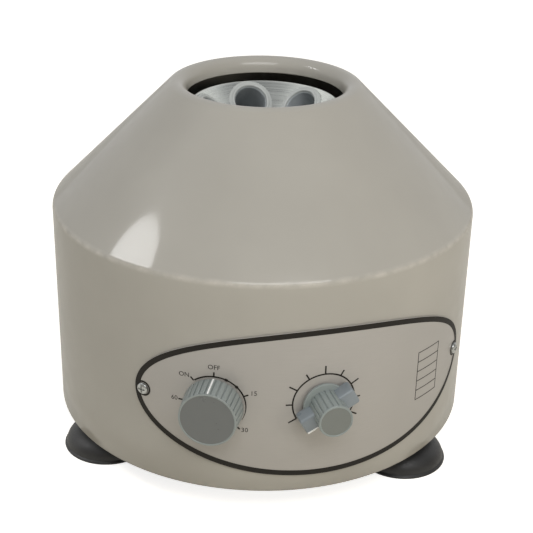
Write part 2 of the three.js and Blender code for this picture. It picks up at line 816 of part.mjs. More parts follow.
function makeTimer() {
  const place = groupAt(wallPlace(timerAngle, timerHeight));
  const plateFront = behindWall(timerPlateWidth / 2);
  const plateBack = plateFront - timerPlateThickness;
  const bushFront = panelFront + seatGap + timerNutHeight + bushProud;
  const pocketEnd = plateFront - timerShaftDepth;
  const knobBottom = panelFront + timerKnobLift;
  const knobTop = knobBottom + timerKnobHeight;
  const boreTop = knobTop - timerKnobWall;
  const caseBack = plateBack - timerCaseDepth;
  const body = join([
    pushed(roundedSquare(timerPlateWidth, timerCaseCorner), plateBack, timerPlateThickness),
    pushed(roundedSquare(timerCaseWidth, timerCaseCorner), caseBack, timerCaseDepth + seatGap),
    bar(timerBushRadius, plateBack, bushFront, smallSegments),
  ]);
  const pocket = bar(timerShaftRadius + seatGap, pocketEnd, bushFront + cutOverrun, smallSegments);
  const grip = ribbedGrip(
    timerKnobBaseRadius,
    timerKnobFaceRadius,
    timerRibDepth,
    timerRibCount,
    timerKnobEdge,
    knobBottom,
    timerKnobHeight,
  );
  const recessRadius = timerKnobBaseRadius - timerKnobWall;
  const faceRadius = timerKnobFaceRadius - timerFaceRim;
  const face = bar(faceRadius, knobTop - timerFaceDepth, knobTop + cutOverrun, mediumSegments);
  const knob = cut(grip, [
    ...knobCuts(knobBottom, recessRadius, timerKnobRecess, timerShaftRadius, boreTop),
    face,
  ]);
  addPiece("timer_body", cut(body, [pocket]), blackPlastic, place);
  addPiece("timer_nut", panelNut(timerNutRadius, timerBushRadius, timerNutHeight), brightSteel, place);
  const shaft = bar(timerShaftRadius, pocketEnd + seatGap, boreTop - seatGap, smallSegments);
  addPiece("timer_shaft", shaft, brightSteel, place);
  addPiece("timer_knob", knob, greyPlastic, place);
}

// The speed knob: a thin skirt, a ribbed barrel under a round face and a bar that points at the scale.
function speedKnob(bottom, boreTop) {
  const top = bottom + speedKnobHeight;
  const barrel = ribbedGrip(
    speedBarrelRadius,
    speedBarrelRadius,
    speedRibDepth,
    speedRibCount,
    speedKnobEdge,
    bottom,
    speedKnobHeight,
  );
  const skirt = bar(speedSkirtRadius, bottom, bottom + speedSkirtHeight, mediumSegments);
  const face = bar(speedFaceRadius, top - speedFaceThickness, top, mediumSegments);
  const outline = roundedRectangle(speedBarLength, speedBarWidth, speedBarFillet);
  const pointer = pushed(outline, bottom, speedBarHeight).rotateZ(radians(speedBarAngle));
  const cuts = knobCuts(bottom, speedKnobRecessRadius, speedKnobRecess, speedShaftRadius, boreTop);
  return cut(join([barrel, skirt, face, pointer]), cuts);
}

function makeSpeedControl() {
  const place = groupAt(wallPlace(speedAngle, speedHeight));
  const potFront = behindWall(potRadius);
  const bushFront = panelFront + seatGap + potNutHeight + bushProud;
  const pocketEnd = potFront - speedShaftDepth;
  const knobBottom = panelFront + speedKnobLift;
  const boreTop = knobBottom + speedKnobHeight - speedKnobFace;
  const body = join([
    bar(potRadius, potFront - potDepth, potFront, mediumSegments),
    bar(potBushRadius, potFront - potDepth / 2, bushFront, smallSegments),
  ]);
  const pocket = bar(speedShaftRadius + seatGap, pocketEnd, bushFront + cutOverrun, smallSegments);
  const shaft = bar(speedShaftRadius, pocketEnd + seatGap, boreTop - seatGap, smallSegments);
  addPiece("speed_potentiometer", cut(body, [pocket]), blackPlastic, place);
  addPiece("speed_nut", panelNut(potNutRadius, potBushRadius, potNutHeight), brightSteel, place);
  addPiece("speed_shaft", shaft, brightSteel, place);
  addPiece("speed_knob", speedKnob(knobBottom, boreTop), bluePlastic, place);
}

// A place on the slope of the dish, with its Z axis up along one sleeve.
function tubePlace(angle) {
  return placeAt(angle, tubeCircleRadius, sleeveSeatHeight, -tubeLean);
}

// A drilling that follows one sleeve through the dish and the support plate.
function sleeveDrilling(angle) {
  const drill = bar(sleeveRadius + sleeveHoleClearance, -sleeveLength, sleeveRadius, smallSegments);
  return moved(drill, tubePlace(angle));
}

// The spun dish's section: a flat floor, a fillet and a slope with a round edge, all grown by a gap.
function dishSection(growth) {
  const bore = shaftRadius + seatGap - growth;
  const centreHeight = dishFloorHeight + dishFillet;
  const faceFoot = rimCentreHeight - rimCentre * dishSlope + dishFaceLift;
  const centre = (centreHeight - faceFoot) / dishSlope - dishFillet / Math.sin(radians(tubeLean));
  const slopeFoot = tubeLean - 90;
  const rimRadius = dishWall / 2 + growth;
  return [
    [bore, dishUnderside - growth],
    ...arc(centre, centreHeight, dishFillet + dishWall + growth, -90, slopeFoot, filletSteps),
    ...arc(rimCentre, rimCentreHeight, rimRadius, slopeFoot, slopeFoot + 180, filletSteps),
    ...arc(centre, centreHeight, dishFillet - growth, slopeFoot, -90, filletSteps),
    [bore, dishFloorHeight + growth],
  ];
}

function makeDish() {
  const dish = cut(turnedRing(dishSection(0), largeSegments), tubeAngles.map(sleeveDrilling));
  addPiece("rotor_dish", dish, spunAluminium);
}

// The plate that holds the sleeves' lower halves, with its edge folded up.
function makeSupportPlate() {
  const bore = hubRadius + seatGap;
  const face = supportPlateHeight + supportPlateThickness;
  const profile = [
    [bore, supportPlateHeight],
    [supportPlateRadius, supportPlateHeight],
    [supportPlateRadius, supportPlateHeight + supportRimHeight],
    [supportPlateRadius - supportPlateThickness, supportPlateHeight + supportRimHeight],
    [supportPlateRadius - supportPlateThickness, face],
    [bore, face],
  ];
  const plate = cut(turnedRing(profile, largeSegments), tubeAngles.map(sleeveDrilling));
  addPiece("rotor_support_plate", plate, spunAluminium);
}

function makeHub() {
  const bore = shaftRadius + seatGap;
  const profile = [
    [bore, hubBottom],
    [hubLowerRadius, hubBottom],
    [hubLowerRadius, hubFlangeBottom],
    [hubFlangeRadius, hubFlangeBottom],
    [hubFlangeRadius, hubFlangeTop],
    [hubRadius, hubFlangeTop],
    [hubRadius, hubTop],
    [bore, hubTop],
  ];
  addPiece("rotor_hub", turnedRing(profile, mediumSegments), spunAluminium);
}

// The flanged cap nut that clamps the dish on the shaft.
function makeCapNut() {
  const hexBottom = capNutBottom + capNutFlangeHeight;
  const hexTop = hexBottom + capNutHexHeight;
  const dome = turned(
    [
      [0, hexBottom],
      [capNutDomeRadius, hexBottom],
      [capNutDomeRadius, hexTop],
      ...arc(0, hexTop, capNutDomeRadius, 0, 90, filletSteps).slice(1, -1),
      [0, hexTop + capNutDomeRadius],
    ],
    smallSegments,
  );
  const blank = join([
    bar(capNutFlangeRadius, capNutBottom, hexBottom, mediumSegments),
    bar(capNutRadius, capNutBottom + capNutFlangeHeight / 2, hexTop, hexSegments),
    dome,
  ]);
  const bore = bar(shaftRadius + seatGap, capNutBottom - cutOverrun, shaftTop + seatGap, smallSegments);
  addPiece("rotor_cap_nut", cut(blank, [bore]), brightSteel);
}

// The sleeve's rounded flange with a raised lip, its underside shaped to the curved slope that it sits on.
function sleeveFlange() {
  const stepHeight = sleeveFlangeHeight - sleeveStep;
  const roundRadius = sleeveFlangeRadius - sleeveFlangeRound;
  const lipEdge = sleeveRadius + sleeveLipWidth;
  const disc = turned(
    [
      [0, 0],
      [sleeveFlangeRadius, 0],
      ...arc(roundRadius, stepHeight - sleeveFlangeRound, sleeveFlangeRound, 0, 90, filletSteps),
      [lipEdge, stepHeight],
      [lipEdge, sleeveFlangeHeight],
      [0, sleeveFlangeHeight],
    ],
    mediumSegments,
  );
  const slope = moved(turnedRing(dishSection(seatGap), largeSegments), tubePlace(0).invert());
  return cut(disc, [slope]);
}

// A sleeve that hangs in the dish by its flange, and the rubber cushion in its round bottom.
function makeSleeves() {
  const top = sleeveFlangeHeight;
  const ballHeight = sleeveRadius - sleeveLength;
  const outside = turned(
    [
      [0, -sleeveLength],
      ...arc(0, ballHeight, sleeveRadius, -90, 0, domeSteps).slice(1),
      [sleeveRadius, top - sleeveFlangeRound],
      [0, top - sleeveFlangeRound],
    ],
    smallSegments,
  );
  const inside = turned(
    [
      [0, ballHeight - sleeveBore],
      ...arc(0, ballHeight, sleeveBore, -90, 0, domeSteps).slice(1),
      [sleeveBore, top - sleeveMouthRound],
      [sleeveBore + sleeveMouthRound, top],
      [sleeveBore + sleeveMouthRound, top + cutOverrun],
      [0, top + cutOverrun],
    ],
    smallSegments,
  );
  const sleeve = cut(join([sleeveFlange(), outside]), [inside]);
  const ball = sleeveBore - 2 * seatGap;
  const cushionTop = ballHeight - ball + cushionThickness;
  const brim = THREE.MathUtils.radToDeg(Math.asin((cushionTop - ballHeight) / ball));
  const cushion = turned(
    [[0, ballHeight - ball], ...arc(0, ballHeight, ball, -90, brim, domeSteps).slice(1), [0, cushionTop]],
    smallSegments,
  );
  tubeAngles.forEach((angle, index) => {
    const place = groupAt(tubePlace(angle));
    addPiece(`tube_sleeve_${index + 1}`, sleeve, sleevePlastic, place);
    addPiece(`tube_cushion_${index + 1}`, cushion, rubber, place);
  });
}

// A waisted rubber mount with a stud at each end.
function makeMotorMounts() {
  const top = mountBottom + mountHeight;
  const cap = mountHeight * mountCapShare;
  const stud = canFlangeThickness + 2 * seatGap + mountStudProud;
  const mount = turned(
    [
      [0, seatGap],
      [mountStudRadius, seatGap],
      [mountStudRadius, mountBottom],
      [mountRadius, mountBottom],
      [mountRadius, mountBottom + cap],
      [mountWaist, mountBottom + mountHeight / 2],
      [mountRadius, top - cap],
      [mountRadius, top],
      [mountStudRadius, top],
      [mountStudRadius, top + stud],
      [0, top + stud],
    ],
    smallSegments,
  );
  mountAngles.forEach((angle, index) => {
    addPiece(`motor_mount_${index + 1}`, mount, rubber, groupAt(placeAt(angle, mountCircleRadius, 0)));
  });
}

// The motor can: a flanged floor with the lower bearing's seat, and a wall with cooling windows.
function makeMotorCan() {
  const seatOuter = bearingSeat + bearingSeatWall;
  const seatTop = canFloor + bearingWidth;
  const throat = shaftRadius + bearingLip;
  const profile = [
    [throat, canBottom],
    [canFlangeRadius, canBottom],
    [canFlangeRadius, canFloor],
    [canRadius, canFloor],
    [canRadius, canTop],
    [canInner, canTop],
    [canInner, canFloor],
    [seatOuter, canFloor],
    [seatOuter, seatTop],
    [bearingSeat, seatTop],
    [bearingSeat, canFloor],
    [throat, canFloor],
  ];
  const windowHeight = canHeight * canWindowHeightShare;
  const windowBottom = canTop - canHeight * canWindowDropShare - windowHeight;
  const hole = block(canWindowWidth, 2 * canWall + 2 * cutOverrun, windowHeight, windowBottom);
  const windowAngles = circleAngles(canWindowCount, canWindowAngle);
  const windows = windowAngles.map((angle) => moved(hole, placeAt(angle, canRadius, 0)));
  const studHoles = mountAngles.map((angle) =>
    plateDrilling(mountStudRadius + seatGap, angle, mountCircleRadius, canBottom, canFloor),
  );
  addPiece("motor_can", cut(turnedRing(profile, mediumSegments), [...windows, ...studHoles]), blackSteel);
}

function makeMotorBracket() {
  const bottom = canTop + seatGap;
  const top = bottom + bracketThickness;
  const seatFloor = bottom + bracketThickness / 2;
  const seatTop = seatFloor + bearingWidth;
  const seatOuter = bearingSeat + bearingSeatWall;
  const throat = shaftRadius + bearingLip;
  const spigot = canInner - seatGap;
  const profile = [
    [spigot - bracketSpigot, bottom - bracketSpigot],
    [spigot, bottom - bracketSpigot],
    [spigot, bottom],
    [canRadius, bottom],
    [canRadius, top],
    [seatOuter, top],
    [seatOuter, seatTop],
    [bearingSeat, seatTop],
    [bearingSeat, seatFloor],
    [throat, seatFloor],
    [throat, bottom],
    [spigot - bracketSpigot, bottom],
  ];
  addPiece("motor_bracket", turnedRing(profile, mediumSegments), spunAluminium);
}

function makeBearings() {
  const bore = shaftRadius + seatGap;
  const lower = canFloor + seatGap;
  const upper = canTop + seatGap + bracketThickness / 2 + seatGap;
  const bearing = (bottom) => tube(bore, bearingRadius, bottom, bottom + bearingWidth, smallSegments);
  addPiece("lower_bearing", bearing(lower), brightSteel);
  addPiece("upper_bearing", bearing(upper), brightSteel);
}

// The field ring, the slotted armature, the commutator and its two brushes.
function makeMotorInside() {
  const fieldOuter = canInner - seatGap;
  const fieldBottom = canFloor + canHeight * fieldLiftShare;
  const fieldHeight = canHeight * fieldHeightShare;
  const armatureRadius = fieldOuter - fieldWall - airGap;
  const armatureHeight = fieldHeight * armatureHeightShare;
  const commutatorHeight = canHeight * commutatorHeightShare;
  const brushHeight = commutatorHeight * brushHeightShare;
  const slotDepth = armatureRadius * armatureSlotDepthShare;
  const armatureBottom = fieldBottom + (fieldHeight - armatureHeight) / 2;
  const commutatorBottom = armatureBottom + armatureHeight + canHeight * commutatorLiftShare;
  const bore = shaftRadius + seatGap;
  const fieldTop = fieldBottom + fieldHeight;
  const field = tube(fieldOuter - fieldWall, fieldOuter, fieldBottom, fieldTop, mediumSegments);
  const armature = slottedOutline(armatureRadius, slotDepth, armatureSlotCount, armatureSlotShare, bore);
  const groove = commutatorGroove;
  const bars = slottedOutline(commutatorRadius, groove, commutatorBarCount, commutatorGapShare, bore);
  const brushInner = commutatorRadius + seatGap;
  const brushBottom = commutatorBottom + (commutatorHeight - brushHeight) / 2;
  const brush = block(fieldOuter - brushInner - seatGap, brushWidth, brushHeight, brushBottom);
  const brushCentre = (fieldOuter + brushInner - seatGap) / 2;
  addPiece("motor_field_ring", field, blackSteel);
  addPiece("motor_armature", pushed(armature, armatureBottom, armatureHeight), copper);
  addPiece("motor_commutator", pushed(bars, commutatorBottom, commutatorHeight), copper);
  addPiece("motor_brush_left", brush.clone().translate(-brushCentre, 0, 0), blackPlastic);
  addPiece("motor_brush_right", brush.clone().translate(brushCentre, 0, 0), blackPlastic);
  addPiece("motor_shaft", bar(shaftRadius, canBottom + seatGap, shaftTop, smallSegments), brightSteel);
}

// The sheet metal bridge, the circuit board on it and the large parts on the board.
function makeSpeedBoard() {
  const place = groupAt(placeAt(boardAngle, floorRingRadius, 0));
  const bridgeBottom = basePlateThickness + seatGap;
  const section = topHatOutline(bridgeWidth, bridgeHeight, bridgeFlange, bridgeSheet);
  const alongX = new THREE.Matrix4().makeBasis(
    new THREE.Vector3(0, 1, 0),
    new THREE.Vector3(0, 0, 1),
    new THREE.Vector3(1, 0, 0),
  );
  const bridge = pushed(section, -bridgeLength / 2, bridgeLength).applyMatrix4(alongX);
  const boardBottom = bridgeBottom + bridgeHeight + seatGap;
  const partsBottom = boardBottom + boardThickness + seatGap;
  const capacitor = bar(capacitorRadius, partsBottom, partsBottom + capacitorHeight, smallSegments);
  const partShift = boardLength * partShiftShare;
  addPiece("board_bridge", bridge.translate(0, 0, bridgeBottom), zincPlate, place);
  addPiece("speed_board", block(boardLength, boardWidth, boardThickness, boardBottom), boardGreen, place);
  addPiece("filter_capacitor", capacitor.translate(-partShift, 0, 0), blackPlastic, place);
  addPiece("triac_heat_sink", heatSink(partsBottom), spunAluminium, place);
  addPiece("terminal_block", terminalBlock(partsBottom).translate(partShift, 0, 0), greyPlastic, place);
}

function heatSink(bottom) {
  const pitch = sinkLength / sinkFinCount;
  const gap = block(pitch * sinkFinShare, sinkWidth, sinkHeight, bottom + sinkBaseThickness);
  const gaps = Array.from({ length: sinkFinCount - 1 }, (_, index) => {
    const along = (index + 1) * pitch - sinkLength / 2;
    return gap.clone().translate(along, -sinkBaseThickness, 0);
  });
  return cut(block(sinkLength, sinkWidth, sinkHeight, bottom), gaps);
}

function terminalBlock(bottom) {
  const pitch = terminalLength / terminalWayCount;
  const wayBottom = bottom + (terminalHeight - terminalWayWidth) / 2;
  const way = block(terminalWayWidth, terminalWayDepth, terminalWayWidth, wayBottom);
  const ways = Array.from({ length: terminalWayCount }, (_, index) => {
    const along = (index + 1 / 2) * pitch - terminalLength / 2;
    return way.clone().translate(along, -terminalWidth / 2, 0);
  });
  return cut(block(terminalLength, terminalWidth, terminalHeight, bottom), ways);
}

// The rubber gland that the supply cord passes, held in the rear wall by its groove.
function makeGland() {
  const inside = behindWall(glandRadius);
  const neck = glandRadius - glandGroove;
  const flangeTop = panelBack + glandFlangeThickness;
  const profile = [
    [glandBore, inside - glandFlangeThickness],
    [glandRadius, inside - glandFlangeThickness],
    [glandRadius, inside],
    [neck, inside],
    [neck, panelBack],
    [glandFlangeRadius, panelBack],
    [glandFlangeRadius - glandGroove, flangeTop],
    [glandBore, flangeTop],
  ];
  const place = groupAt(wallPlace(glandAngle, glandHeight));
  addPiece("cord_gland", turnedRing(profile, smallSegments), rubber, place);
}

// The fuse holder in the rear wall, with a slotted cap.
function makeFuseHolder() {
  const flangeTop = panelBack + fuseFlangeThickness;
  const capTop = flangeTop + fuseCapHeight;
  const body = join([
    bar(fuseRadius, panelBack - fuseDepth, flangeTop, smallSegments),
    bar(fuseFlangeRadius, panelBack, flangeTop, smallSegments),
    bar(fuseCapRadius, panelBack, capTop, smallSegments),
  ]);
  const slotFloor = capTop - fuseSlotDepth;
  const slot = block(2 * fuseCapRadius + cutOverrun, fuseSlotWidth, fuseSlotDepth + cutOverrun, slotFloor);
  addPiece("fuse_holder", cut(body, [slot]), blackPlastic, groupAt(wallPlace(fuseAngle, fuseHeight)));
}

makeHousing();
makeBasePlate();
makeBaseScrews();
makeFeet();
makePanel();
makePanelScrews();
makeTimer();
makeSpeedControl();
makeMotorMounts();
makeMotorCan();
makeMotorBracket();
makeBearings();
makeMotorInside();
makeSpeedBoard();
makeGland();
makeFuseHolder();
makeHub();
makeSupportPlate();
makeDish();
makeCapNut();
makeSleeves();

export default centrifuge;
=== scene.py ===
import json
from math import asin, cos, degrees, pi, radians, sin, sqrt, tan

import bmesh
import bpy
from bpy.props import FloatProperty, FloatVectorProperty, IntProperty, PointerProperty, StringProperty
from mathutils import Euler, Matrix, Vector


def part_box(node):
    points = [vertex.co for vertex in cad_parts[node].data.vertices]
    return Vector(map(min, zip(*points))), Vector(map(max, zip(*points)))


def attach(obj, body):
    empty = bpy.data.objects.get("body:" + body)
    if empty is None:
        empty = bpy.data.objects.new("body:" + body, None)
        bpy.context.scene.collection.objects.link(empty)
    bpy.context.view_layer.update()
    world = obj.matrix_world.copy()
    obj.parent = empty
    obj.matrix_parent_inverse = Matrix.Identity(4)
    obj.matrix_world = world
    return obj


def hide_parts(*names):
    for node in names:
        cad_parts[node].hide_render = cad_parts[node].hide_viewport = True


bl_info = {
    "name": "Bench centrifuge",
    "version": (1, 0, 0),
    "blender": (4, 5, 0),
    "location": "3D View > Sidebar > Centrifuge",
    "description": "Dresses the packed bench centrifuge and sets its stage",
    "category": "Object",
}

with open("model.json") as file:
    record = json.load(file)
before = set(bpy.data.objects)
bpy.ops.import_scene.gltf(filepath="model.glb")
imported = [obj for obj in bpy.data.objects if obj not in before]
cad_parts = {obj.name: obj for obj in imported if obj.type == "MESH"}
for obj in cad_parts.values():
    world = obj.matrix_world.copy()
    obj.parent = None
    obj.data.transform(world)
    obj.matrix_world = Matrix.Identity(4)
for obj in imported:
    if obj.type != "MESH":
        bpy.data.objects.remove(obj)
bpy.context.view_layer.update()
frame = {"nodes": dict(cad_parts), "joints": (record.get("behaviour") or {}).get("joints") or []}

MM = 0.001
housing_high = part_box("housing")[1]
dish_low, dish_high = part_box("rotor_dish")
foot_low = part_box("foot_1")[0]
plate_low, plate_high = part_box("base_plate")
joints = {joint["name"]: joint for joint in frame["joints"]}
timer_place = joints["timer_turn"]["pos_m"]
speed_place = joints["speed_turn"]["pos_m"]

# Places that several pieces share, with angles from the front
SHOULDER_HEIGHT = 131 * MM
SCREW_SWING = 105.5 * MM  # along the drum, from the panel's middle to a screw
TAB_ANGLE = radians(-19.3)
REAR_HEIGHT = 30 * MM
GLAND_ANGLE = pi
HOLDER_ANGLE = radians(162)
HAIR = 0.05 * MM  # by which print, screws and lining clear the faces they lie on
WELD = 1e-6  # corners nearer than this are one, and at a pole twice this


# Small helpers


def linear(code):
    """A hex sRGB colour as linear red, green, blue and alpha."""
    levels = [int(code[start:start + 2], 16) / 255 for start in (1, 3, 5)]
    return [v / 12.92 if v <= 0.04045 else ((v + 0.055) / 1.055) ** 2.4 for v in levels] + [1]


def shaded(code, share):
    """A hex colour made darker or lighter by a share of its sRGB level."""
    levels = [min(255, round(int(code[start:start + 2], 16) * share)) for start in (1, 3, 5)]
    return "#" + "".join(f"{level:02x}" for level in levels)


def mm(*points, up=0):
    """Points [radius, height] given in millimetres, with the heights counted from a height in metres."""
    return [(radius * MM, up + height * MM) for radius, height in points]


def angles(start, end, steps):
    """The angles from start to end in equal steps, given in degrees, in radians."""
    return [radians(start + (end - start) * step / steps) for step in range(steps + 1)]


def arc(centre, height, radius, start, end, steps, rise=None):
    """Points [radius, height] on an arc, or with a rise on an ellipse, with angles in degrees from straight out."""
    rise = radius if rise is None else rise
    return [(centre + radius * cos(turn), height + rise * sin(turn)) for turn in angles(start, end, steps)]


def straight(first, last, steps):
    """The points between two points that part their line into equal steps."""
    return [tuple(Vector(first).lerp(Vector(last), step / steps)) for step in range(1, steps)]


def shift(x=0, y=0, z=0):
    return Matrix.Translation((x, y, z))


def spin(angle, axis="Z"):
    return Matrix.Rotation(angle, 4, axis)


def wall_frame(angle, height):
    """A place on the drum's axis that faces outwards: X right, Y up and Z out of the wall."""
    return shift(z=height) @ spin(angle) @ spin(pi / 2, "X")


def dial_frame(joint, node):
    """Where a knob starts on the wall, with Z out along its joint."""
    x, y, height = joints[joint]["pos_m"]
    inwards = Vector(joints[joint]["axis"])
    start = min(-inwards.dot(corner.co) for corner in frame["nodes"][node].data.vertices)
    return wall_frame(asin(x / sqrt(x * x + y * y)), height) @ shift(z=start)


# Objects and meshes


def new_object(name, data):
    made = bpy.data.objects.new(name, data)
    bpy.context.scene.collection.objects.link(made)
    return made


def object_from(name, mesh, *materials):
    """An object from a bmesh, which is freed."""
    data = bpy.data.meshes.new(name)
    mesh.to_mesh(data)
    mesh.free()
    for material in materials:
        data.materials.append(material)
    return new_object(name, data)


def evaluated_mesh(source):
    """What the object's modifiers make of it, as a plain mesh."""
    bpy.context.view_layer.update()
    graph = bpy.context.evaluated_depsgraph_get()
    return bpy.data.meshes.new_from_object(source.evaluated_get(graph), depsgraph=graph)


def plain(source):
    """Replaces the object's mesh by its evaluated one and takes its modifiers off."""
    mesh = evaluated_mesh(source)
    source.modifiers.clear()
    source.data = mesh
    return source


def tidy_faces(piece, sharp=35):
    """Merges doubles, turns the faces outwards and shades the piece smooth up to a sharp angle in degrees."""
    mesh = bmesh.new()
    mesh.from_mesh(piece.data)
    bmesh.ops.remove_doubles(mesh, verts=mesh.verts, dist=WELD)
    bmesh.ops.recalc_face_normals(mesh, faces=mesh.faces)
    mesh.to_mesh(piece.data)
    mesh.free()
    piece.data.shade_smooth()
    piece.data.set_sharp_from_angle(angle=radians(sharp))
    return piece


def joined(name, pieces):
    """Several objects as one, with their materials kept."""
    mesh = bmesh.new()
    materials = []
    for piece in pieces:
        materials += [material for material in piece.data.materials if material not in materials]
        before = len(mesh.faces)
        mesh.from_mesh(piece.data)
        mesh.faces.ensure_lookup_table()
        for face in mesh.faces[before:]:
            face.material_index = materials.index(piece.data.materials[face.material_index])
    for piece in pieces:
        bpy.data.objects.remove(piece)
    made = object_from(name, mesh, *materials)
    made.data.set_sharp_from_angle(angle=radians(35))
    return made


def moved(piece, place):
    piece.data.transform(place)
    return piece


def cut_by(piece, cutters):
    """Cuts the cutters out of the piece and removes them."""
    for cutter in cutters:
        modifier = piece.modifiers.new("cut", "BOOLEAN")
        modifier.operation = "DIFFERENCE"
        modifier.solver = "EXACT"
        modifier.object = cutter
        plain(piece)
        bpy.data.objects.remove(cutter)
    return piece


def settle(piece, body, slot, *nodes):
    """Puts a finished piece on its body and hides the nodes that it stands for. Its slot is not used."""
    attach(piece, body)
    if nodes:
        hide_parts(*nodes)


# Nodes, for geometry and for finishes


def fill(node, inputs):
    """Sets a node's inputs by name or number: a socket is linked, anything else is a value."""
    for name, value in inputs.items():
        if isinstance(value, bpy.types.NodeSocket):
            node.id_data.links.new(value, node.inputs[name])
        else:
            node.inputs[name].default_value = value


def add_node(tree, kind, inputs=None, **settings):
    """Adds a node with its inputs and settings, and returns its outputs."""
    node = tree.nodes.new(kind)
    for name, value in settings.items():
        setattr(node, name, value)
    fill(node, inputs or {})
    return node.outputs


def output_of(tree, kind, inputs=None, output=0, **settings):
    """One output of a new node, by its name or number."""
    return add_node(tree, kind, inputs, **settings)[output]


def maths(tree, operation, *values):
    return output_of(tree, "ShaderNodeMath", dict(enumerate(values)), operation=operation)


def axes(tree, vector):
    """A vector's X, Y and Z."""
    return add_node(tree, "ShaderNodeSeparateXYZ", {0: vector})


def ranged(tree, value, start, end, low, high, **settings):
    """A value from start to end becomes one from low to high, and stays at these beyond."""
    inputs = {"Value": value, "From Min": start, "From Max": end, "To Min": low, "To Max": high}
    return output_of(tree, "ShaderNodeMapRange", inputs, **settings)


def blended(tree, amount, first, second):
    """Two hex colours or sockets mixed by a pattern."""
    first, second = (linear(shade) if isinstance(shade, str) else shade for shade in (first, second))
    return output_of(tree, "ShaderNodeMix", {0: amount, 6: first, 7: second}, 2, data_type="RGBA")


# Geometry node trees: turning a profile, repeating a piece round an axis, wrapping flat work on the drum


def new_tree(name, inputs):
    """An empty tree with geometry in and out, the named inputs and a material; returns it and its inputs."""
    tree = bpy.data.node_groups.new(name, "GeometryNodeTree")
    for label, kind in {"Geometry": "Geometry", **inputs, "Material": "Material"}.items():
        tree.interface.new_socket(name=label, in_out="INPUT", socket_type="NodeSocket" + kind)
    tree.interface.new_socket(name="Geometry", in_out="OUTPUT", socket_type="NodeSocketGeometry")
    return tree, tree.nodes.new("NodeGroupInput").outputs


def end_tree(tree, geometry, given):
    """Realises what the tree made and gives it its material."""
    real = output_of(tree, "GeometryNodeRealizeInstances", {"Geometry": geometry})
    finished = output_of(tree, "GeometryNodeSetMaterial", {"Geometry": real, "Material": given["Material"]})
    add_node(tree, "NodeGroupOutput", {0: finished})
    return tree


def placed_at(tree, geometry, parts):
    """Moves every point to new X, Y and Z."""
    spot = output_of(tree, "ShaderNodeCombineXYZ", parts)
    return output_of(tree, "GeometryNodeSetPosition", {"Geometry": geometry, "Position": spot})


def turning_tree():
    """A profile in the XZ plane is swept round a circle of one metre's radius, shifted so that it turns round Z."""
    tree, given = new_tree("Turned profile", {"Segments": "Int"})
    place = axes(tree, output_of(tree, "GeometryNodeInputPosition"))
    reach = maths(tree, "SUBTRACT", place["X"], 1.0)
    rise = maths(tree, "MULTIPLY", place["Z"], -1.0)
    outline = output_of(
        tree, "GeometryNodeMeshToCurve", {"Mesh": placed_at(tree, given["Geometry"], {"X": reach, "Y": rise})}
    )
    circle = output_of(tree, "GeometryNodeCurvePrimitiveCircle", {"Resolution": given["Segments"], "Radius": 1.0})
    level = output_of(tree, "GeometryNodeSetCurveNormal", {"Curve": circle}, mode="Z_UP")
    swept = output_of(tree, "GeometryNodeCurveToMesh", {"Curve": level, "Profile Curve": outline})
    closed = output_of(tree, "GeometryNodeMergeByDistance", {"Geometry": swept, "Distance": 2 * WELD})
    return end_tree(tree, closed, given)


def repeating_tree():
    """A piece is repeated round the Z axis, from a first angle and by a step."""
    tree, given = new_tree("Repeated round an axis", {"Copies": "Int", "First Angle": "Float", "Step": "Float"})
    points = output_of(tree, "GeometryNodePoints", {"Count": given["Copies"]})
    index = output_of(tree, "GeometryNodeInputIndex")
    angle = maths(tree, "MULTIPLY_ADD", index, given["Step"], given["First Angle"])
    turn = output_of(tree, "ShaderNodeCombineXYZ", {"Z": angle})
    spread = {"Points": points, "Instance": given["Geometry"], "Rotation": turn}
    return end_tree(tree, output_of(tree, "GeometryNodeInstanceOnPoints", spread), given)


def wrapping_tree():
    """Flat work, with X along the wall, Z up and Y into the wall, is bent round the drum."""
    tree, given = new_tree("Wrapped on the drum", {"Drum Radius": "Float"})
    place = axes(tree, output_of(tree, "GeometryNodeInputPosition"))
    angle = maths(tree, "DIVIDE", place["X"], given["Drum Radius"])
    reach = maths(tree, "SUBTRACT", given["Drum Radius"], place["Y"])
    right = maths(tree, "MULTIPLY", reach, maths(tree, "SINE", angle))
    depth = maths(tree, "MULTIPLY", reach, maths(tree, "COSINE", angle))
    front = maths(tree, "MULTIPLY", depth, -1.0)
    return end_tree(tree, placed_at(tree, given["Geometry"], {"X": right, "Y": front, "Z": place["Z"]}), given)


turning = turning_tree()
repeating = repeating_tree()
wrapping = wrapping_tree()


def grown(piece, tree, values):
    """Runs a tree on the piece, with its inputs set by name, and keeps the result as a plain mesh."""
    modifier = piece.modifiers.new(tree.name, "NODES")
    modifier.node_group = tree
    for socket in tree.interface.items_tree:
        if socket.in_out == "INPUT" and socket.name in values:
            modifier[socket.identifier] = values[socket.name]
    return plain(piece)


def turned(name, profile, segments, material, ring=False, sharp=35):
    """A solid of revolution from [radius, height] points; a ring's profile closes on itself."""
    mesh = bpy.data.meshes.new(name)
    count = len(profile)
    edges = [(index, (index + 1) % count) for index in range(count if ring else count - 1)]
    mesh.from_pydata([(radius, 0, height) for radius, height in profile], edges, [])
    values = {"Segments": segments, "Material": material}
    return tidy_faces(grown(new_object(name, mesh), turning, values), sharp)


def cylinder(name, radius, low, high, segments, material):
    return turned(name, [(0, low), (radius, low), (radius, high), (0, high)], segments, material)


def repeated(piece, copies, material, first=0, step=None):
    """Copies of the piece from a first angle round the Z axis, evenly all round where no step is given."""
    values = {"Copies": copies, "First Angle": first, "Step": step or 2 * pi / copies, "Material": material}
    return tidy_faces(grown(piece, repeating, values))


def wrapped(piece, drum_radius, material):
    return tidy_faces(grown(piece, wrapping, {"Drum Radius": drum_radius, "Material": material}), 50)


# Finishes


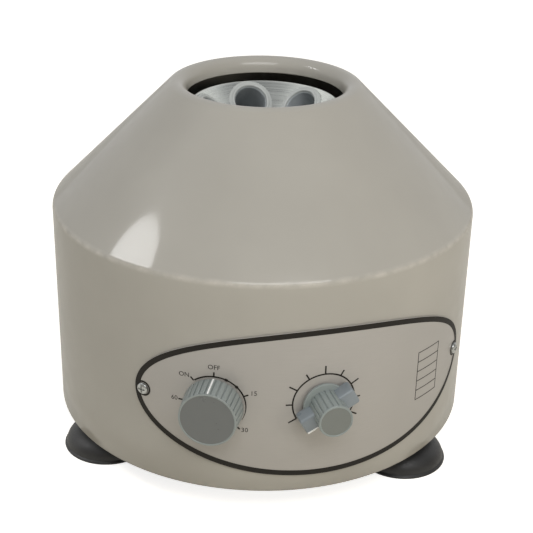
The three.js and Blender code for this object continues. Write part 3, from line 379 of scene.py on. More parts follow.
class Finish:
    """A procedural material under way, in the object's own coordinates."""

    def __init__(self, name, colour, metallic, roughness, specular=0.5, **extra):
        self.material = bpy.data.materials.new(name)
        self.material.use_nodes = True
        self.material.diffuse_color = linear(colour)
        self.tree = self.material.node_tree
        self.shader = self.tree.nodes["Principled BSDF"]
        values = {"Base Color": linear(colour), "Metallic": metallic, "Roughness": roughness, "IOR": 1.5}
        fill(self.shader, {**values, "Specular IOR Level": specular, **extra})
        self.place = output_of(self.tree, "ShaderNodeTexCoord", output="Object")

    def grain(self, size, detail=2.0, stretch=(1, 1, 1), place=None):
        """Noise whose features are about the given size in metres, drawn out along an axis by a stretch below 1."""
        place = self.place if place is None else place
        spread = output_of(self.tree, "ShaderNodeMapping", {"Vector": place, "Scale": stretch})
        inputs = {"Vector": spread, "Scale": 1 / size, "Detail": detail, "Roughness": 0.5}
        return output_of(self.tree, "ShaderNodeTexNoise", inputs, "Fac")

    def between(self, pattern, low, high):
        """A pattern as a value between low and high; its faintest and strongest parts are cut off."""
        return ranged(self.tree, pattern, 0.3, 0.7, low, high)

    def wear_and_highlight_band(self, height, reach, patch):
        """A patchy band round the body at a height, strongest at 1: real wear at the foot, a painted highlight at the
        bend.
        """
        away = maths(self.tree, "SUBTRACT", axes(self.tree, self.place)["Z"], height)
        band = ranged(self.tree, maths(self.tree, "ABSOLUTE", away), 0, reach, 1, 0)
        return maths(self.tree, "MULTIPLY", band, self.between(self.grain(patch, 4.0), 0.0, 1.0))

    def done(self, pattern, first, second, relief, depth, roughness=None):
        """The material, with two colours mixed by a pattern, a relief of a depth in metres and, where it varies,
        the roughness as a pattern with its lowest and highest value."""
        inputs = {
            "Base Color": blended(self.tree, pattern, first, second),
            "Normal": output_of(self.tree, "ShaderNodeBump", {"Height": relief, "Distance": depth, "Strength": 1.0}),
        }
        if roughness:
            inputs["Roughness"] = self.between(*roughness)
        fill(self.shader, inputs)
        return self.material


def painted_steel(colour):
    """Stoved enamel on sheet steel, sprayed: a clear gloss with a faint orange peel, a painted highlight in patches
    along its bend, its lower edge rubbed in patches, and a little dust low down."""
    coat = {"Coat Weight": 0.3, "Coat IOR": 1.7, "Coat Roughness": 0.08}
    finish = Finish("stoved enamel on steel", colour, 0, 0.34, 0.05, **coat)
    tree = finish.tree
    peel = finish.grain(2.6 * MM, 1.0)
    cloud = finish.grain(70 * MM, 3.0)
    low = ranged(tree, axes(tree, finish.place)["Z"], 0.0, 30 * MM, 0.35, 0.0)
    shades = blended(tree, finish.between(cloud, 0.0, 1.0), colour, shaded(colour, 0.965))
    soiled = blended(tree, maths(tree, "MULTIPLY", low, cloud), shades, "#8a857a")
    # Painted highlight: the paint turns lighter in patches along the shoulder bend, where the bend would catch the
    # light.
    bend = finish.wear_and_highlight_band(SHOULDER_HEIGHT, 2.2 * MM, 7 * MM)
    foot = finish.wear_and_highlight_band(0, 1.4 * MM, 5 * MM)
    dusty_with_bend_highlight = blended(tree, bend, soiled, shaded(colour, 1.12))
    return finish.done(foot, dusty_with_bend_highlight, "#6f6b63", peel, 0.01 * MM, (finish.grain(9 * MM), 0.30, 0.40))


def satin_panel(colour):
    """Satin anodised aluminium, brushed along the panel: fine streaks too thin to see, drawn 0.5 mm wide."""
    finish = Finish("satin anodised aluminium", colour, 0.15, 0.38, 0.3)
    streaks = finish.grain(0.5 * MM, 2.0, (0.06, 0.06, 1))
    mixed = maths(finish.tree, "MULTIPLY", streaks, finish.grain(40 * MM))
    return finish.done(mixed, colour, shaded(colour, 1.07), streaks, 0.006 * MM, (streaks, 0.34, 0.44))


def printing_ink(name, colour):
    """Screen printed ink: matt, with a slightly uneven film."""
    finish = Finish(name, colour, 0, 0.6, 0.2)
    film = finish.grain(0.7 * MM)
    return finish.done(film, colour, shaded(colour, 1.25), film, 0.01 * MM)


def moulded_rubber(name, colour):
    """Moulded rubber: dull, with a paler bloom and a fine tool grain."""
    finish = Finish(name, colour, 0, 0.55)
    bloom, pores = finish.grain(12 * MM, 3.0), finish.grain(0.8 * MM)
    return finish.done(bloom, colour, shaded(colour, 1.5), pores, 0.03 * MM, (pores, 0.4, 0.56))


def moulded_plastic(name, colour, gloss):
    """Moulded ABS: a light spark texture, and finger marks a little shinier than the rest."""
    finish = Finish(name, colour, 0, gloss, IOR=1.53)
    spark, touch = finish.grain(0.45 * MM), finish.grain(6 * MM)
    polish = (touch, gloss - 0.03, gloss + 0.05)
    return finish.done(touch, shaded(colour, 0.98), shaded(colour, 1.03), spark, 0.008 * MM, polish)


def spun_metal(name, colour, roughness, ring_size):
    """Spun aluminium: fine rings round the axis that fan the light out into rays across the rings."""
    finish = Finish(name, colour, 1, roughness, Anisotropic=0.6)
    tree = finish.tree
    fill(finish.shader, {"Tangent": output_of(tree, "ShaderNodeTangent", direction_type="RADIAL", axis="Z")})
    level = output_of(tree, "ShaderNodeVectorMath", {0: finish.place, 1: (1, 1, 0)}, operation="MULTIPLY")
    reach = output_of(tree, "ShaderNodeVectorMath", {0: level}, "Value", operation="LENGTH")
    section = output_of(tree, "ShaderNodeCombineXYZ", {"X": reach, "Y": axes(tree, finish.place)["Z"]})
    rings = finish.grain(ring_size, 3.0, place=section)
    polish = (rings, roughness - 0.06, roughness + 0.1)
    return finish.done(finish.grain(9 * MM), colour, shaded(colour, 0.9), rings, 0.012 * MM, polish)


def plated_metal(name, colour, roughness, metallic=1):
    """Plated or drawn metal: cloudy shine with fine wear scratches, drawn 0.6 mm wide so that they show."""
    finish = Finish(name, colour, metallic, roughness)
    scratches = finish.grain(0.6 * MM, 2.0, (1, 0.15, 1))
    polish = (scratches, roughness - 0.05, roughness + 0.12)
    return finish.done(finish.grain(5 * MM), shaded(colour, 0.85), colour, scratches, 0.008 * MM, polish)


def circuit_board(colour):
    """Solder masked board: glassy green with paler copper tracks 2 mm wide under it."""
    finish = Finish("solder masked board", colour, 0, 0.3)
    lines = {"Vector": finish.place, "Scale": 1 / (12 * MM), "Distortion": 4.0, "Detail": 1.0}
    tracks = finish.between(output_of(finish.tree, "ShaderNodeTexWave", lines, "Fac"), 0.0, 1.0)
    return finish.done(tracks, colour, shaded(colour, 1.4), tracks, 0.03 * MM)


# Sizes and colours that a user would change


def measured(label, value, words):
    """A length that starts at a value in metres."""
    return FloatProperty(name=label, description=words, default=value, subtype="DISTANCE", unit="LENGTH", precision=5)


def length(label, value, words):
    """A length that starts at a value in millimetres."""
    return measured(label, value * MM, words)


def angle_value(label, value, words):
    return FloatProperty(name=label, description=words, default=radians(value), subtype="ANGLE", unit="ROTATION")


def count_of(label, value, words, least=1):
    return IntProperty(name=label, description=words, default=value, min=least)


def strength(label, value, words):
    return FloatProperty(name=label, description=words, default=value, min=0)


def hex_colour(label, value, words):
    return StringProperty(name=label, description=words, default=value)


class HousingProperties(bpy.types.PropertyGroup):
    drum_radius: measured("Drum radius", housing_high.x, "Outer radius of the drum")
    shoulder_height: measured("Shoulder height", SHOULDER_HEIGHT, "Height at which the drum would meet the cone")
    shoulder_round: length("Shoulder round", 5, "Radius of the bend between drum and cone")
    cone_angle: angle_value("Cone angle", 45, "Slope of the cone from level")
    mouth_radius: length("Mouth radius", 47.2, "Clear radius of the mouth")
    lip_radius: length("Lip radius", 6.4, "Radius of the rolled lip")
    lip_drop: length("Lip drop", 2.1, "How far the lip's inner wall hangs below its roll")
    sheet: length("Sheet", 2, "Thickness of the steel sheet")
    paint: hex_colour("Paint", "#aca9a1", "Colour of the enamel")


class PanelProperties(bpy.types.PropertyGroup):
    half_width: length("Half width", 111, "Half of the panel's width along the drum")
    half_height: length("Half height", 46.8, "Half of the panel's height")
    centre_height: length("Centre height", 57.5, "Height of the panel's middle")
    thickness: length("Thickness", 1, "Thickness of the panel")
    gap: length("Gap", 0.3, "Gap between the drum and the panel")
    border_inset: length("Border inset", 0.1, "Bare edge outside the printed border")
    border_width: length("Border width", 3.3, "Width of the printed border")
    line_width: length("Line width", 0.9, "Width of the scale lines")
    plate: hex_colour("Plate", "#a5a29d", "Colour of the plate")
    ink: hex_colour("Ink", "#1e1c19", "Colour of the print")


class TimerProperties(bpy.types.PropertyGroup):
    base_radius: length("Base radius", 17.2, "Radius of the knob over its ribs at the panel")
    face_radius: length("Face radius", 16.3, "Radius of the knob over its ribs at its face")
    height: length("Height", 15.8, "Height of the knob")
    rib_count: count_of("Ribs", 32, "Number of ribs round the knob", 3)
    rib_depth: length("Rib depth", 0.7, "How far the ribs stand out")
    scale_radius: length("Scale radius", 17.8, "Radius of the printed arc")
    grip: hex_colour("Grip", "#89908e", "Colour of the ribbed side")
    face: hex_colour("Face", "#646766", "Colour of the face")


class SpeedProperties(bpy.types.PropertyGroup):
    skirt_radius: length("Skirt radius", 12.8, "Radius of the disc at the panel")
    skirt_height: length("Skirt height", 1.8, "Thickness of the disc at the panel")
    barrel_radius: length("Barrel radius", 9.4, "Radius of the barrel over its ribs")
    face_radius: length("Face radius", 9.8, "Radius of the round face")
    height: length("Height", 20.2, "Height of the knob")
    bar_length: length("Bar length", 34.4, "Length of the pointer bar")
    bar_width: length("Bar width", 10.2, "Width of the pointer bar")
    bar_height: length("Bar height", 10.4, "Height of the pointer bar")
    rib_count: count_of("Ribs", 18, "Number of ribs round the barrel", 3)
    scale_radius: length("Scale radius", 17.9, "Radius of the printed arc")
    grip: hex_colour("Grip", "#89918f", "Colour of the skirt and the ribs")
    bar: hex_colour("Bar", "#7f878c", "Colour of the bar")
    face: hex_colour("Face", "#6f736f", "Colour of the face")


class RotorProperties(bpy.types.PropertyGroup):
    rim_radius: measured("Rim radius", dish_high.x, "Outer radius of the dish")
    rim_height: measured("Rim height", dish_high.z, "Height of the dish's rim")
    floor_height: measured("Floor height", dish_low.z + 2 * MM, "Height of the dish's floor")
    wall: length("Wall", 2, "Thickness of the dish")
    fillet: length("Fillet", 5, "Radius between floor and slope")
    tube_count: count_of("Tubes", 6, "Number of sleeves", 2)
    tube_lean: angle_value("Tube lean", 45, "Lean of the sleeves from upright")
    tube_circle: length("Tube circle", 33.1, "Radius at which the sleeves meet the slope")
    bore: length("Bore", 10.2, "Inner radius of a sleeve")
    sleeve_wall: length("Sleeve wall", 1, "Wall of a sleeve")
    sleeve_length: length("Sleeve length", 91.8, "Length of a sleeve below the dish")
    collar_radius: length("Collar radius", 14.1, "Radius of a sleeve's collar")
    collar_height: length("Collar height", 3.2, "Height of a sleeve's collar")
    metal: hex_colour("Metal", "#d4d7d2", "Colour of the dish")
    sleeve: hex_colour("Sleeve", "#b9bcb9", "Colour of the sleeves")
    # The lining's colour is painted shade: it is darker than the sleeve, for the shade deep in the bores
    bore_shade_liner: hex_colour("Bore shade liner", "#868a8c", "Colour of the lining in the sleeves")


class FootProperties(bpy.types.PropertyGroup):
    radius: length("Radius", 28, "Radius of a foot")
    height: measured("Height", -foot_low.z, "Height of a foot")
    circle: length("Circle", 107, "Radius at which the feet stand")
    first: angle_value("First angle", -79.3, "Angle of the first foot from the front")
    count: count_of("Feet", 3, "Number of feet")
    rubber: hex_colour("Rubber", "#202020", "Colour of the feet")


class StageProperties(bpy.types.PropertyGroup):
    lens: FloatProperty(name="Lens", description="Focal length for a 36 mm frame", default=81.54, unit="CAMERA")
    place: FloatVectorProperty(
        name="Camera place",
        description="Where the camera stands",
        default=(-0.20003, -0.67099, 0.41269),
        unit="LENGTH",
    )
    turn: FloatVectorProperty(
        name="Camera turn",
        description="How the camera is turned",
        default=(radians(64.6601), radians(-1.1876), radians(-16.2923)),
        subtype="EULER",
    )
    room: strength("Room light", 0.3, "Level of the light from all round")
    front: strength("Front lamp", 8.9, "Power of the lamp high in front")
    left: strength("Window lamp", 2.9, "Power of the lamp on the left")
    right: strength("Right lamp", 2.9, "Power of the lamp on the right")


# Flat print work, in metres along the wall and up from the table


def on_dial(x, z, turn, reach):
    """The point at a distance from a dial's middle, turned clockwise from its top."""
    return x + reach * sin(turn), z + reach * cos(turn)


class FlatWork:
    """Flat print or plate with X along the wall, Z up and Y into the wall, as a mesh under way."""

    def __init__(self, front, back):
        self.mesh = bmesh.new()
        self.front = -front
        self.back = -back

    def row(self, x, z, across, up):
        """The four corners of a bar at a point, from half its width and height."""
        corners = ((1, self.front), (-1, self.front), (-1, self.back), (1, self.back))
        return [(x + side * across, y, z + side * up) for side, y in corners]

    def skin(self, rows, closed=False):
        """Joins rows of four corners into a bar, which closes on itself or is capped at both ends."""
        rows = [[self.mesh.verts.new(corner) for corner in row] for row in rows]
        for first, second in zip(rows, rows[1:] + rows[:1] if closed else rows[1:]):
            for corner in range(4):
                following = (corner + 1) % 4
                self.mesh.faces.new((first[corner], first[following], second[following], second[corner]))
        if not closed:
            self.mesh.faces.new(rows[0])
            self.mesh.faces.new(rows[-1][::-1])

    def ribbon(self, points, width, closed=False, end_width=None):
        """A line of the given width along the points, which may narrow towards its end."""
        count = len(points)
        rows = []
        change = (width if end_width is None else end_width) - width
        for index, (x, z) in enumerate(points):
            before = points[index - 1] if index or closed else points[0]
            after = points[(index + 1) % count] if index < count - 1 or closed else points[-1]
            way = Vector((after[0] - before[0], after[1] - before[1])).normalized()
            side = Vector((-way.y, way.x)) * ((width + change * index / count) / 2)
            rows.append(self.row(x, z, side.x, side.y))
        self.skin(rows, closed)

    def ring(self, x, z, radius, width, start=0, end=360, steps=72, end_width=None):
        """A round line or an arc, with angles clockwise from the top, in degrees."""
        whole = end - start >= 360
        turns = angles(start, end, steps)[:-1 if whole else None]
        self.ribbon([on_dial(x, z, turn, radius) for turn in turns], width, whole, end_width)

    def tick(self, x, z, angle, inner, outer, width):
        """A short line that points at a dial's middle."""
        self.ribbon([on_dial(x, z, radians(angle), reach) for reach in (inner, outer)], width)

    def words(self, text, x, z, size):
        """Plain figures or a switch word, centred on a point."""
        curve = bpy.data.curves.new("figures", "FONT")
        curve.body = text
        curve.size = size
        curve.align_x = "CENTER"
        curve.align_y = "CENTER"
        curve.extrude = (self.back - self.front) / 2
        curve.resolution_u = 3
        letters = new_object("figures", curve)
        mesh = evaluated_mesh(letters)
        mesh.transform(shift(x, (self.front + self.back) / 2, z) @ spin(pi / 2, "X"))
        self.mesh.from_mesh(mesh)
        bpy.data.objects.remove(letters)


def oval(half_width, half_height, inset, centre_height, steps):
    """Points round an ellipse that is drawn in by an inset along its own normals."""
    points = []
    for turn in angles(0, 360, steps)[:-1]:
        across, up = half_width * cos(turn), half_height * sin(turn)
        normal = Vector((half_height * cos(turn), half_width * sin(turn))).normalized()
        points.append((across - inset * normal.x, centre_height + up - inset * normal.y))
    return points


# Blanks that several pieces use


def eased(name, mesh, edge, steps, material, sharp):
    """An object from a bmesh that is centred on Z = 0: it is lifted on to it and all its edges are rounded."""
    half_height = max(corner.co.z for corner in mesh.verts)
    bmesh.ops.translate(mesh, verts=mesh.verts, vec=(0, 0, half_height))
    bmesh.ops.bevel(mesh, geom=mesh.edges[:], offset=edge, segments=steps, profile=0.5, affect="EDGES")
    return tidy_faces(object_from(name, mesh, material), sharp)


def rounded_bar(name, width, depth, height, edge, material, steps=4):
    mesh = bmesh.new()
    bmesh.ops.create_cube(mesh, size=1, matrix=Matrix.Diagonal((width, depth, height, 1)))
    return eased(name, mesh, edge, steps, material, 60)


def hexagon(radius, height, edge, material):
    mesh = bmesh.new()
    bmesh.ops.create_cone(mesh, cap_ends=True, segments=6, radius1=radius, radius2=radius, depth=height)
    return eased("hexagon", mesh, edge, 3, material, 40)


def cross_head(name, radius, height, shank_radius, shank_length, recess_width, material):
    """A cross recessed pan head on Z = 0 with its shank below."""
    upright = 0.35  # share of the head's height below its crown
    profile = (
        [(0, -shank_length), (shank_radius, -shank_length), (shank_radius, 0), (radius, 0)]
        + arc(0, upright * height, radius, 0, 90, 8, (1 - upright) * height)[:-1]
        + [(0, height)]
    )
    head = turned(name, profile, 40, material, sharp=50)
    slots = []
    for turn in (0, pi / 2):
        slot = rounded_bar("recess", 1.3 * radius, recess_width, height, recess_width / 4, material, 2)
        slots.append(moved(slot, spin(turn) @ shift(z=0.5 * height)))
    return tidy_faces(cut_by(head, slots), 40)


def ribs_round(count, radius, seat, depth, height, lean, material):
    """Upright ribs round a knob: they stand at the seat's radius, and at the other they cover most of the way."""
    cover = 0.78
    rib = rounded_bar("rib", cover * 2 * pi * radius / count, depth, height, 0.35 * MM, material, 3)
    return repeated(moved(rib, shift(0, -seat, 0.4 * MM) @ spin(-lean, "X")), count, material)


# Operators: one for each piece or group of like pieces, and one for the stage


class CENTRIFUGE_OT_housing(bpy.types.Operator):
    """Turns the painted shell with its shoulder and rolled mouth, and its three tabs inside"""

    bl_idname = "centrifuge.housing"
    bl_label = "Housing"

    def execute(self, context):
        sizes = context.scene.centrifuge_housing
        paint = painted_steel(sizes.paint)
        drum = sizes.drum_radius
        inner = drum - sizes.sheet
        slope = tan(sizes.cone_angle)
        slant = sqrt(1 + slope * slope)
        normal = 90 - degrees(sizes.cone_angle)
        lip_centre = sizes.mouth_radius + sizes.lip_radius
        lip_height = sizes.shoulder_height + (drum - lip_centre) * slope - sizes.lip_radius * slant
        bend_centre = drum - sizes.shoulder_round
        bend_height = sizes.shoulder_height + sizes.shoulder_round * (slope - slant)
        hem = sizes.sheet / 2
        edge = 0.4 * MM
        rows = [20 * MM, 40 * MM]  # points all round that keep the faces by the rear holes short
        profile = (
            [(inner + edge, 0), (drum - edge, 0), (drum, edge)]
            + [(drum, row) for row in rows]
            + arc(bend_centre, bend_height, sizes.shoulder_round, 0, normal, 10)
            + arc(lip_centre, lip_height, sizes.lip_radius, normal, 180, 26)
            + arc(sizes.mouth_radius + hem, lip_height - sizes.lip_drop, hem, 180, 360, 8)
            + arc(lip_centre, lip_height, sizes.lip_radius - sizes.sheet, 180, normal, 18)
            + arc(bend_centre, bend_height, sizes.shoulder_round - sizes.sheet, normal, 0, 6)
            + [(inner, row) for row in rows[::-1] + [edge]]
        )
        shell = turned("housing_shell", profile, 288, paint, ring=True, sharp=50)
        start, depth = drum - 6 * MM, 12 * MM
        holes = [
            moved(cylinder("hole", radius, start, start + depth, 48, paint), wall_frame(angle, REAR_HEIGHT))
            for angle, radius in ((GLAND_ANGLE, 6.2 * MM), (HOLDER_ANGLE, 6.6 * MM))
        ]
        settle(tidy_faces(cut_by(shell, holes), 50), "cabinet", "housing_paint", "housing")
        tab = rounded_bar("housing_tabs", 16 * MM, 16.5 * MM, 2 * MM, 0.5 * MM, paint)
        moved(tab, shift(0, 7.9 * MM - inner, 2.8 * MM))
        settle(repeated(tab, 3, paint, TAB_ANGLE), "cabinet", "housing_paint")
        return {"FINISHED"}


class CENTRIFUGE_OT_panel(bpy.types.Operator):
    """Bends the oval panel round the drum and prints its border, both scales and the ruled table on it"""

    bl_idname = "centrifuge.panel"
    bl_label = "Panel"

    def execute(self, context):
        sizes = context.scene.centrifuge_panel
        drum = context.scene.centrifuge_housing.drum_radius
        face = sizes.gap + sizes.thickness
        middle = sizes.centre_height
        plate = satin_panel(sizes.plate)
        ink = printing_ink("black screen print", sizes.ink)
        work = FlatWork(face, sizes.gap)
        columns, blunt_end = 160, 0.35 * MM
        rows = []
        for column, turn in enumerate(angles(0, 180, columns)):
            rise = blunt_end if column in (0, columns) else sizes.half_height * sin(turn)
            rows.append(work.row(-sizes.half_width * cos(turn), middle, 0, -rise))
        work.skin(rows)
        oval_plate = wrapped(object_from("panel_skin", work.mesh), drum, plate)
        bevel = oval_plate.modifiers.new("edge", "BEVEL")
        bevel.width = 0.3 * MM
        bevel.segments = 2
        bevel.limit_method = "ANGLE"
        bevel.angle_limit = radians(60)
        settle(tidy_faces(plain(oval_plate), 50), "cabinet", "panel", "panel_plate")
        work = FlatWork(face + HAIR, face - HAIR)
        inset = sizes.border_inset + sizes.border_width / 2
        work.ribbon(oval(sizes.half_width, sizes.half_height, inset, middle, 320), sizes.border_width, True)
        for side in (-SCREW_SWING, SCREW_SWING):
            work.ring(side, middle, 4.3 * MM, 1.2 * MM, steps=48)
        self.timer_scale(context, work, sizes.line_width, drum * asin(timer_place[0] / drum))
        self.speed_scale(context, work, sizes.line_width, drum * asin(speed_place[0] / drum))
        self.table(work, 0.5 * MM)
        settle(wrapped(object_from("panel_print", work.mesh), drum, ink), "cabinet", "panel")
        return {"FINISHED"}

    def timer_scale(self, context, work, width, x):
        """The timer's arc from ON, which fades out before 30 minutes, its ticks, dots and figures. The scale runs
        4.5 degrees a minute from OFF at the top."""
        radius, z = context.scene.centrifuge_timer.scale_radius, timer_place[2]
        work.ring(x, z, radius, width, -38, 70, 60)
        work.ring(x, z, radius, width, 70, 118, 30, 0.2 * MM)
        for angle in (-40, 0, 67.5, 135, 270):
            work.tick(x, z, angle, radius, 20.6 * MM, width)
        for angle in (22.5, 45):
            work.tick(x, z, angle, radius - 0.8 * MM, radius + 0.8 * MM, 1.6 * MM)
        marks = (("ON", -46, 23.7), ("OFF", 0, 23.5), ("15", 68, 23.7), ("30", 131, 22.9), ("60", 270.5, 23))
        for text, angle, reach in marks:
            work.words(text, *on_dial(x, z, radians(angle), reach * MM), 4 * MM)

    def speed_scale(self, context, work, width, x):
        """The speed dial's arc with nine ticks, every other one longer."""
        radius, z = context.scene.centrifuge_speed.scale_radius, speed_place[2]
        work.ring(x, z, radius, width, -120, 120, 96)
        for step in range(9):
            work.tick(x, z, -120 + 30 * step, radius, (23.1 if step % 2 == 0 else 21.7) * MM, width)

    def table(self, work, width):
        """Five bare ruled boxes for the ratings."""
        left, right, low, high = 62.5 * MM, 82.2 * MM, 41.4 * MM, 72.8 * MM
        for row in range(6):
            z = low + (high - low) * row / 5
            work.ribbon([(left + (right - left) * step / 8, z) for step in range(9)], width)
        for x in (left, right):
            work.ribbon([(x, low - width / 2), (x, high + width / 2)], width)


class CENTRIFUGE_OT_screws(bpy.types.Operator):
    """Makes the two screws of the panel and the three of the base"""

    bl_idname = "centrifuge.screws"
    bl_label = "Screws"

    def execute(self, context):
        sizes = context.scene.centrifuge_panel
        drum = context.scene.centrifuge_housing.drum_radius
        zinc = plated_metal("bright zinc plated steel", "#b9bbb9", 0.3)
        swing = SCREW_SWING / drum
        screw = cross_head("panel_screws", 3.4 * MM, 1.9 * MM, 1.5 * MM, 8 * MM, 0.9 * MM, zinc)
        moved(screw, wall_frame(0, sizes.centre_height) @ shift(z=drum + sizes.gap + sizes.thickness + HAIR))
        pair = repeated(screw, 2, zinc, -swing, 2 * swing)
        settle(pair, "cabinet", "zinc", "panel_screw_left", "panel_screw_right")
        screw = cross_head("base_screws", 4 * MM, 2.4 * MM, 2 * MM, 7 * MM, 1 * MM, zinc)
        low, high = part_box("base_screw_1")
        moved(screw, shift(0, -((low + high) / 2).xy.length, -HAIR) @ spin(pi, "X"))
        trio = repeated(screw, 3, zinc, TAB_ANGLE)
        settle(trio, "cabinet", "zinc", "base_screw_1", "base_screw_2", "base_screw_3")
        return {"FINISHED"}


class CENTRIFUGE_OT_timer_dial(bpy.types.Operator):
    """Makes the ribbed timer knob with its plain face and white line"""

    bl_idname = "centrifuge.timer_dial"
    bl_label = "Timer dial"

    def execute(self, context):
        sizes = context.scene.centrifuge_timer
        grip = moulded_plastic("grey moulded ABS", sizes.grip, 0.36)
        face_finish = moulded_plastic("charcoal grey moulded ABS", sizes.face, 0.3)
        line = printing_ink("white line paint", "#dcdcd6")
        core_base = sizes.base_radius - sizes.rib_depth
        core_face = sizes.face_radius - sizes.rib_depth
        top = sizes.height
        rim = 0.35 * MM
        flat = sizes.face_radius - 0.8 * MM
        profile = (
            mm((0, 5), (14, 5), (14.4, 0))
            + [(core_base, 0), (core_base, 0.6 * MM), (core_face, top - 1.3 * MM)]
            + [(sizes.face_radius - 0.1 * MM, top - 1.1 * MM)]
            + arc(sizes.face_radius - rim, top - rim, rim, 0, 90, 6)
            + [(flat, top), (flat - 0.15 * MM, top - 0.35 * MM), (0, top - 0.35 * MM)]
        )
        body = turned("body", profile, 128, grip, sharp=30)
        profile = [(0, top - 0.5 * MM), (flat - 0.3 * MM, top - 0.5 * MM), (flat - 0.4 * MM, top - 0.3 * MM)]
        face = turned("face", profile + [(0, top - 0.25 * MM)], 128, face_finish)
        lean = (sizes.base_radius - sizes.face_radius) / top
        height = top - 1.6 * MM
        ribs = ribs_round(sizes.rib_count, core_base, core_base, 2 * sizes.rib_depth, height, lean, grip)
        mark = rounded_bar("mark", 1 * MM, 0.5 * MM, height, 0.15 * MM, line, 2)
        moved(mark, shift(0, sizes.base_radius - 0.15 * MM, 0.4 * MM) @ spin(lean, "X"))
        knob = moved(joined("timer_grip", [body, face, ribs, mark]), dial_frame("timer_turn", "timer_knob"))
        settle(knob, "timer_dial", "grey_plastic", "timer_knob")
        return {"FINISHED"}


class CENTRIFUGE_OT_speed_dial(bpy.types.Operator):
    """Makes the speed knob: a skirt, a ribbed barrel and a pointer bar across it"""

    bl_idname = "centrifuge.speed_dial"
    bl_label = "Speed dial"

    def execute(self, context):
        sizes = context.scene.centrifuge_speed
        grip = moulded_plastic("grey green moulded ABS", sizes.grip, 0.3)
        bar_finish = moulded_plastic("blue grey moulded ABS", sizes.bar, 0.3)
        face_finish = moulded_plastic("dark grey moulded ABS", sizes.face, 0.34)
        line = printing_ink("white pointer paint", "#e6e6e2")
        top = sizes.height
        core = sizes.barrel_radius - 0.6 * MM
        edge = 0.4 * MM
        profile = (
            [(core - 1 * MM, 0), (sizes.skirt_radius - edge, 0)]
            + arc(sizes.skirt_radius - edge, edge, edge, -90, 0, 4)
            + arc(sizes.skirt_radius - edge, sizes.skirt_height - edge, edge, 0, 90, 4)
            + [(core - 1 * MM, sizes.skirt_height + 0.2 * MM)]
        )
        skirt = turned("skirt", profile, 96, grip, ring=True)
        profile = (
            mm((0, 3.8), (7, 3.8), (7.1, 0.2))
            + [(core, 0.2 * MM), (core, top - 0.7 * MM)]
            + arc(core - 0.5 * MM, top - 0.7 * MM, 0.5 * MM, 0, 90, 4)
            + [(0, top - 0.2 * MM)]
        )
        barrel = turned("barrel", profile, 80, grip)
        rim = sizes.face_radius
        profile = (
            [(0, top - 1.2 * MM), (rim - 0.3 * MM, top - 1.2 * MM), (rim, top - 0.9 * MM)]
            + arc(rim - 0.6 * MM, top - 0.6 * MM, 0.6 * MM, 0, 90, 5)
            + [(rim - 0.8 * MM, top), (rim - 1 * MM, top - 0.25 * MM), (0, top - 0.25 * MM)]
        )
        disc = turned("disc", profile, 96, grip, sharp=25)
        profile = [(0, top - 0.4 * MM), (rim - 1.15 * MM, top - 0.4 * MM), (rim - 1.25 * MM, top - 0.2 * MM)]
        face = turned("face", profile + [(0, top - 0.1 * MM)], 96, face_finish)
        seat = sizes.barrel_radius - 0.7 * MM
        ribs = ribs_round(sizes.rib_count, sizes.barrel_radius, seat, 1.4 * MM, top - 1.4 * MM, 0, grip)
        bar = rounded_bar("bar", sizes.bar_length, sizes.bar_width, sizes.bar_height, 1.5 * MM, bar_finish, 5)
        mark = rounded_bar("mark", 6.6 * MM, 1 * MM, 0.6 * MM, 0.15 * MM, line, 2)
        x, y = 3.9 * MM - sizes.bar_length / 2, 1.3 * MM - sizes.bar_width / 2
        moved(mark, shift(x, y, sizes.bar_height - 0.4 * MM))
        tilt = spin(radians(30))
        knob = joined("speed_grip", [skirt, barrel, ribs, moved(bar, tilt), moved(mark, tilt), disc, face])
        moved(knob, dial_frame("speed_turn", "speed_knob"))
        settle(knob, "speed_dial", "blue_grey_plastic", "speed_knob")
        return {"FINISHED"}


def tube_place(sizes, angle):
    """Where a sleeve meets the dish's slope, with Z up along the sleeve."""
    rim = sizes.rim_radius - sizes.wall / 2
    lift = sizes.wall / 2 / cos(sizes.tube_lean)
    height = sizes.rim_height - sizes.wall / 2 - (rim - sizes.tube_circle) * tan(sizes.tube_lean) + lift
    return spin(angle) @ shift(0, -sizes.tube_circle, height) @ spin(-sizes.tube_lean, "X")


